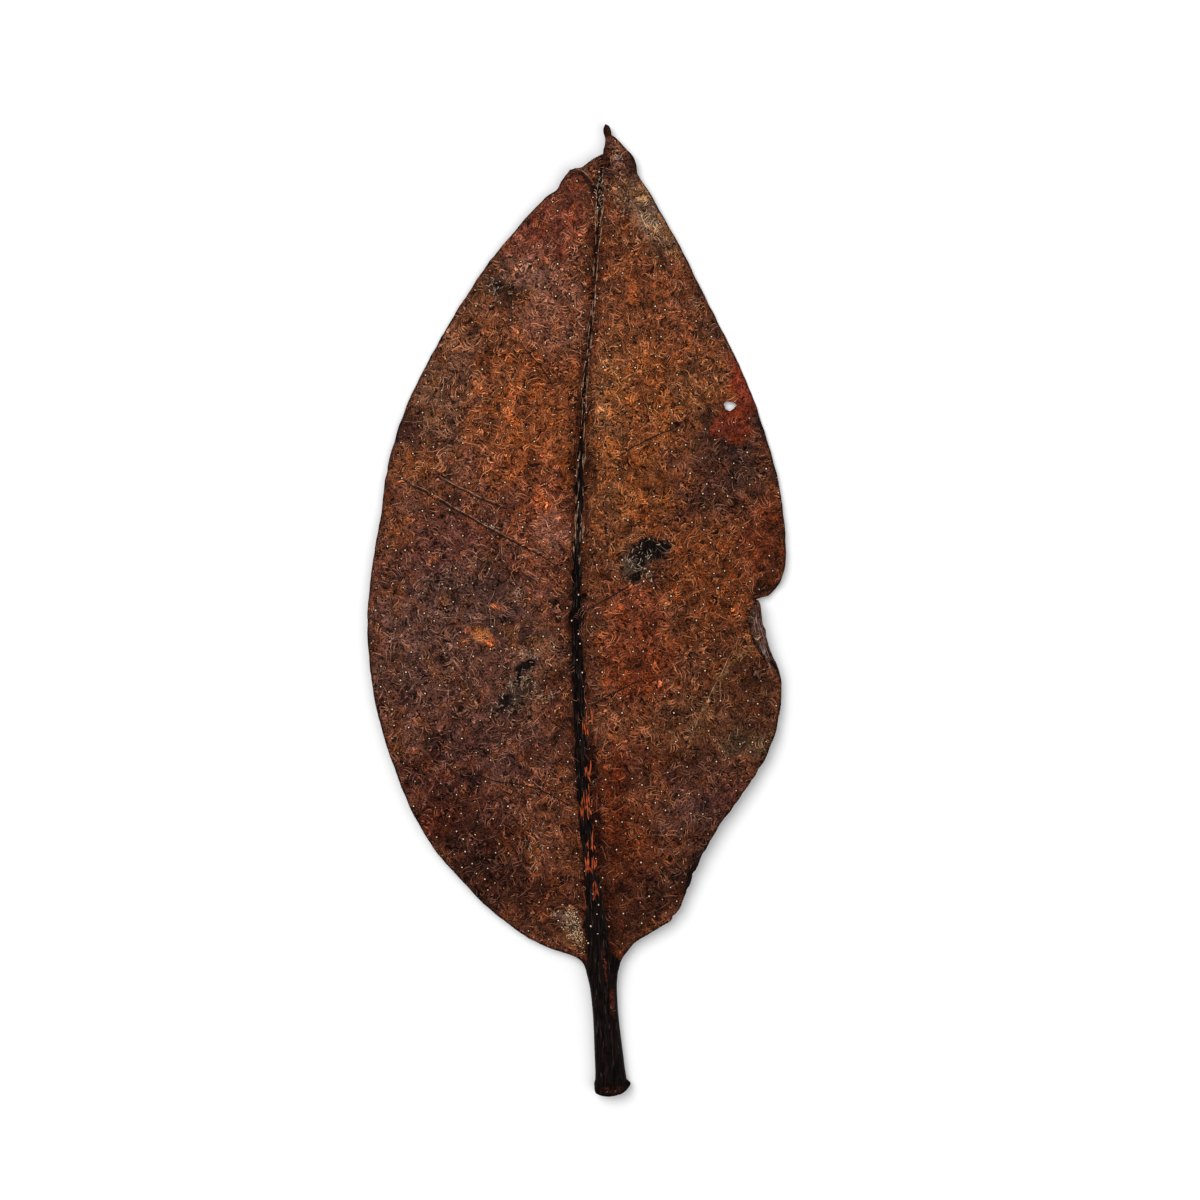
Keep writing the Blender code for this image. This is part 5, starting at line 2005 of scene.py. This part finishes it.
@dataclass
class SkinLines(LaidPiece):
    """Thin crooked lines laid on the upper face along given paths."""

    flatness: float = 0.7
    lines: tuple[Path, ...] = ()
    spacing: float = 0.4
    sway: float = 0.16
    sway_length: float = 1.6

    def tubes(self, dice: random.Random) -> Iterator[tuple[Points, float]]:
        """The flat path and the half width of each line."""
        for line in self.lines:
            path = smooth_path(line, self.spacing)
            sway = [noise_field(path, self.sway_length, layer) for layer in (61, 62)]
            yield path + self.sway * np.column_stack(sway), self.half_width


@dataclass
class Studio:
    """White card under soft light from the upper left, and a camera that looks straight down."""

    lens_mm: float = 100.0
    sensor_mm: float = 36.0
    subject_height_mm: float = 2.6
    card_size: float = 1.6
    card_tint: str = "#fafafa"
    key_place: tuple[float, float, float] = (-0.42, 0.44, 1.22)
    key_size: float = 0.85
    key_power: float = 13.3
    fill_place: tuple[float, float, float] = (0.62, -0.48, 1.25)
    fill_size: float = 1.30
    fill_power: float = 9.6
    sky_strength: float = 0.22

    def card(self) -> None:
        """Lay the white card that the leaf lies on."""
        half = self.card_size / 2
        mesh = bpy.data.meshes.new("card")
        corners = [(-half, -half, 0), (half, -half, 0), (half, half, 0), (-half, half, 0)]
        mesh.from_pydata(corners, [], [(0, 1, 2, 3)])
        # Uncoated white card: matt, with no gloss to mirror the lamps
        material = new_material("white_card", 1.0, 0.0)
        material.node_tree.nodes[SHADER].inputs["Base Color"].default_value = linear(self.card_tint)
        mesh.materials.append(material)
        card = new_object("card", mesh)
        card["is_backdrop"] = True

    def lamp(self, name: str, place: tuple[float, float, float], size: float, power: float) -> None:
        """Hang a square soft lamp that faces the leaf.

        Args:
            name: The lamp's name.
            place: Its place, in metres.
            size: Its side, in metres.
            power: Its power, in watts.
        """
        data = bpy.data.lights.new(name, "AREA")
        data.energy = power
        data.size = size
        lamp = new_object(name, data)
        lamp.location = place
        lamp.rotation_euler = (-Vector(place)).to_track_quat("-Z", "Y").to_euler()

    def camera(self) -> None:
        """Set the camera straight above the middle of the photo's frame."""
        data = bpy.data.cameras.new("camera")
        data.lens = self.lens_mm
        data.sensor_width = self.sensor_mm
        middle = PHOTO_SIDE / 2
        x = (middle - PHOTO_ORIGIN_PIXEL[0]) * MM_PER_PIXEL
        y = (PHOTO_ORIGIN_PIXEL[1] - middle) * MM_PER_PIXEL
        distance = PHOTO_SIDE * MM_PER_PIXEL * self.lens_mm / self.sensor_mm
        camera = new_object("camera", data)
        camera.location = (x * MM, y * MM, (distance + self.subject_height_mm) * MM)
        bpy.context.scene.camera = camera

    def build(self) -> None:
        """Set up the card, the lamps, the sky and the camera."""
        scene = bpy.context.scene
        scene.view_settings.view_transform = "Standard"
        self.card()
        self.lamp("key", self.key_place, self.key_size, self.key_power)
        self.lamp("fill", self.fill_place, self.fill_size, self.fill_power)
        world = bpy.data.worlds.new("soft_sky")
        world.use_nodes = True
        sky = world.node_tree.nodes["Background"]
        sky.inputs["Color"].default_value = linear("#ffffff")
        sky.inputs["Strength"].default_value = self.sky_strength
        scene.world = world
        self.camera()


def dress(piece: Piece) -> None:
    """Fix a piece to the body and log its count of faces."""
    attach(piece, BODY)
    LOG.info("%s: %d faces", piece.name, len(piece.data.polygons))


def main() -> None:
    """Build the studio, the leaf and what lies on it."""
    logging.basicConfig(level=logging.INFO, format="%(name)s %(message)s")
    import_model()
    cad_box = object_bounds()
    Studio().build()
    leaf = LeafBody().build()
    leaf.data.materials.append(DriedCuticle().make())
    dress(leaf)
    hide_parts(NODE)
    stalk_spread = Stations((
        (-69.0, 1.75), (-55.0, 1.50), (-48.0, 1.5), (-40.0, 1.05), (-10.0, 0.75), (20.0, 0.45),
    ))
    makers = (
        CuticleFolds(),
        # Pale beads over the pores, their near-white colour a painted glint
        Beads(
            name="wax_bead_glints", mask="glint_speck", spacing_mm=1.35, seed=11, radius_mm=0.11, most_size=1.35,
            collar=PORE_COLLAR,
        ),
        Beads(name="cork_warts", mask="wart", spacing_mm=1.7, seed=12, radius_mm=0.16, finish=CORK_WART),
        Beads(
            name="crust_grains", mask="bloom_and_highlight", spacing_mm=0.18, seed=13, radius_mm=0.12, flatness=0.8,
            finish=MINERAL_CRUST,
        ),
        BaredFibres(),
        SkinThreads(),
        StripStreaks(),
        ScarThreads(),
        # Ridges along the stalk and midrib, coloured grey as painted glints
        SkinThreads(
            name="stalk_ridge_glints", finish=STALK_RIDGE_GLINT, half_width=0.045, seed=23, bottom=-69.0, top=20.0,
            count=150, spread=stalk_spread, clear=0.0, shortest=0.4, longest=2.4,
        ),
        SkinLines(name="vein_groove_shades", finish=VEIN_GROOVE_SHADE, half_width=0.10, lines=VEIN_PATHS),
        # Pale lines of painted highlight, in the finish of the rib threads
        SkinLines(name="vein_highlight_lips", finish=RIB_THREAD, half_width=0.05, lines=LIP_PATHS),
    )
    for maker in makers:
        dress(maker.build(leaf))
    boxes = {"cad": cad_box, "visual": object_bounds()}
    {name: [list(corner) for corner in box] for name, box in boxes.items()}


if __name__ == "__main__":
    main()
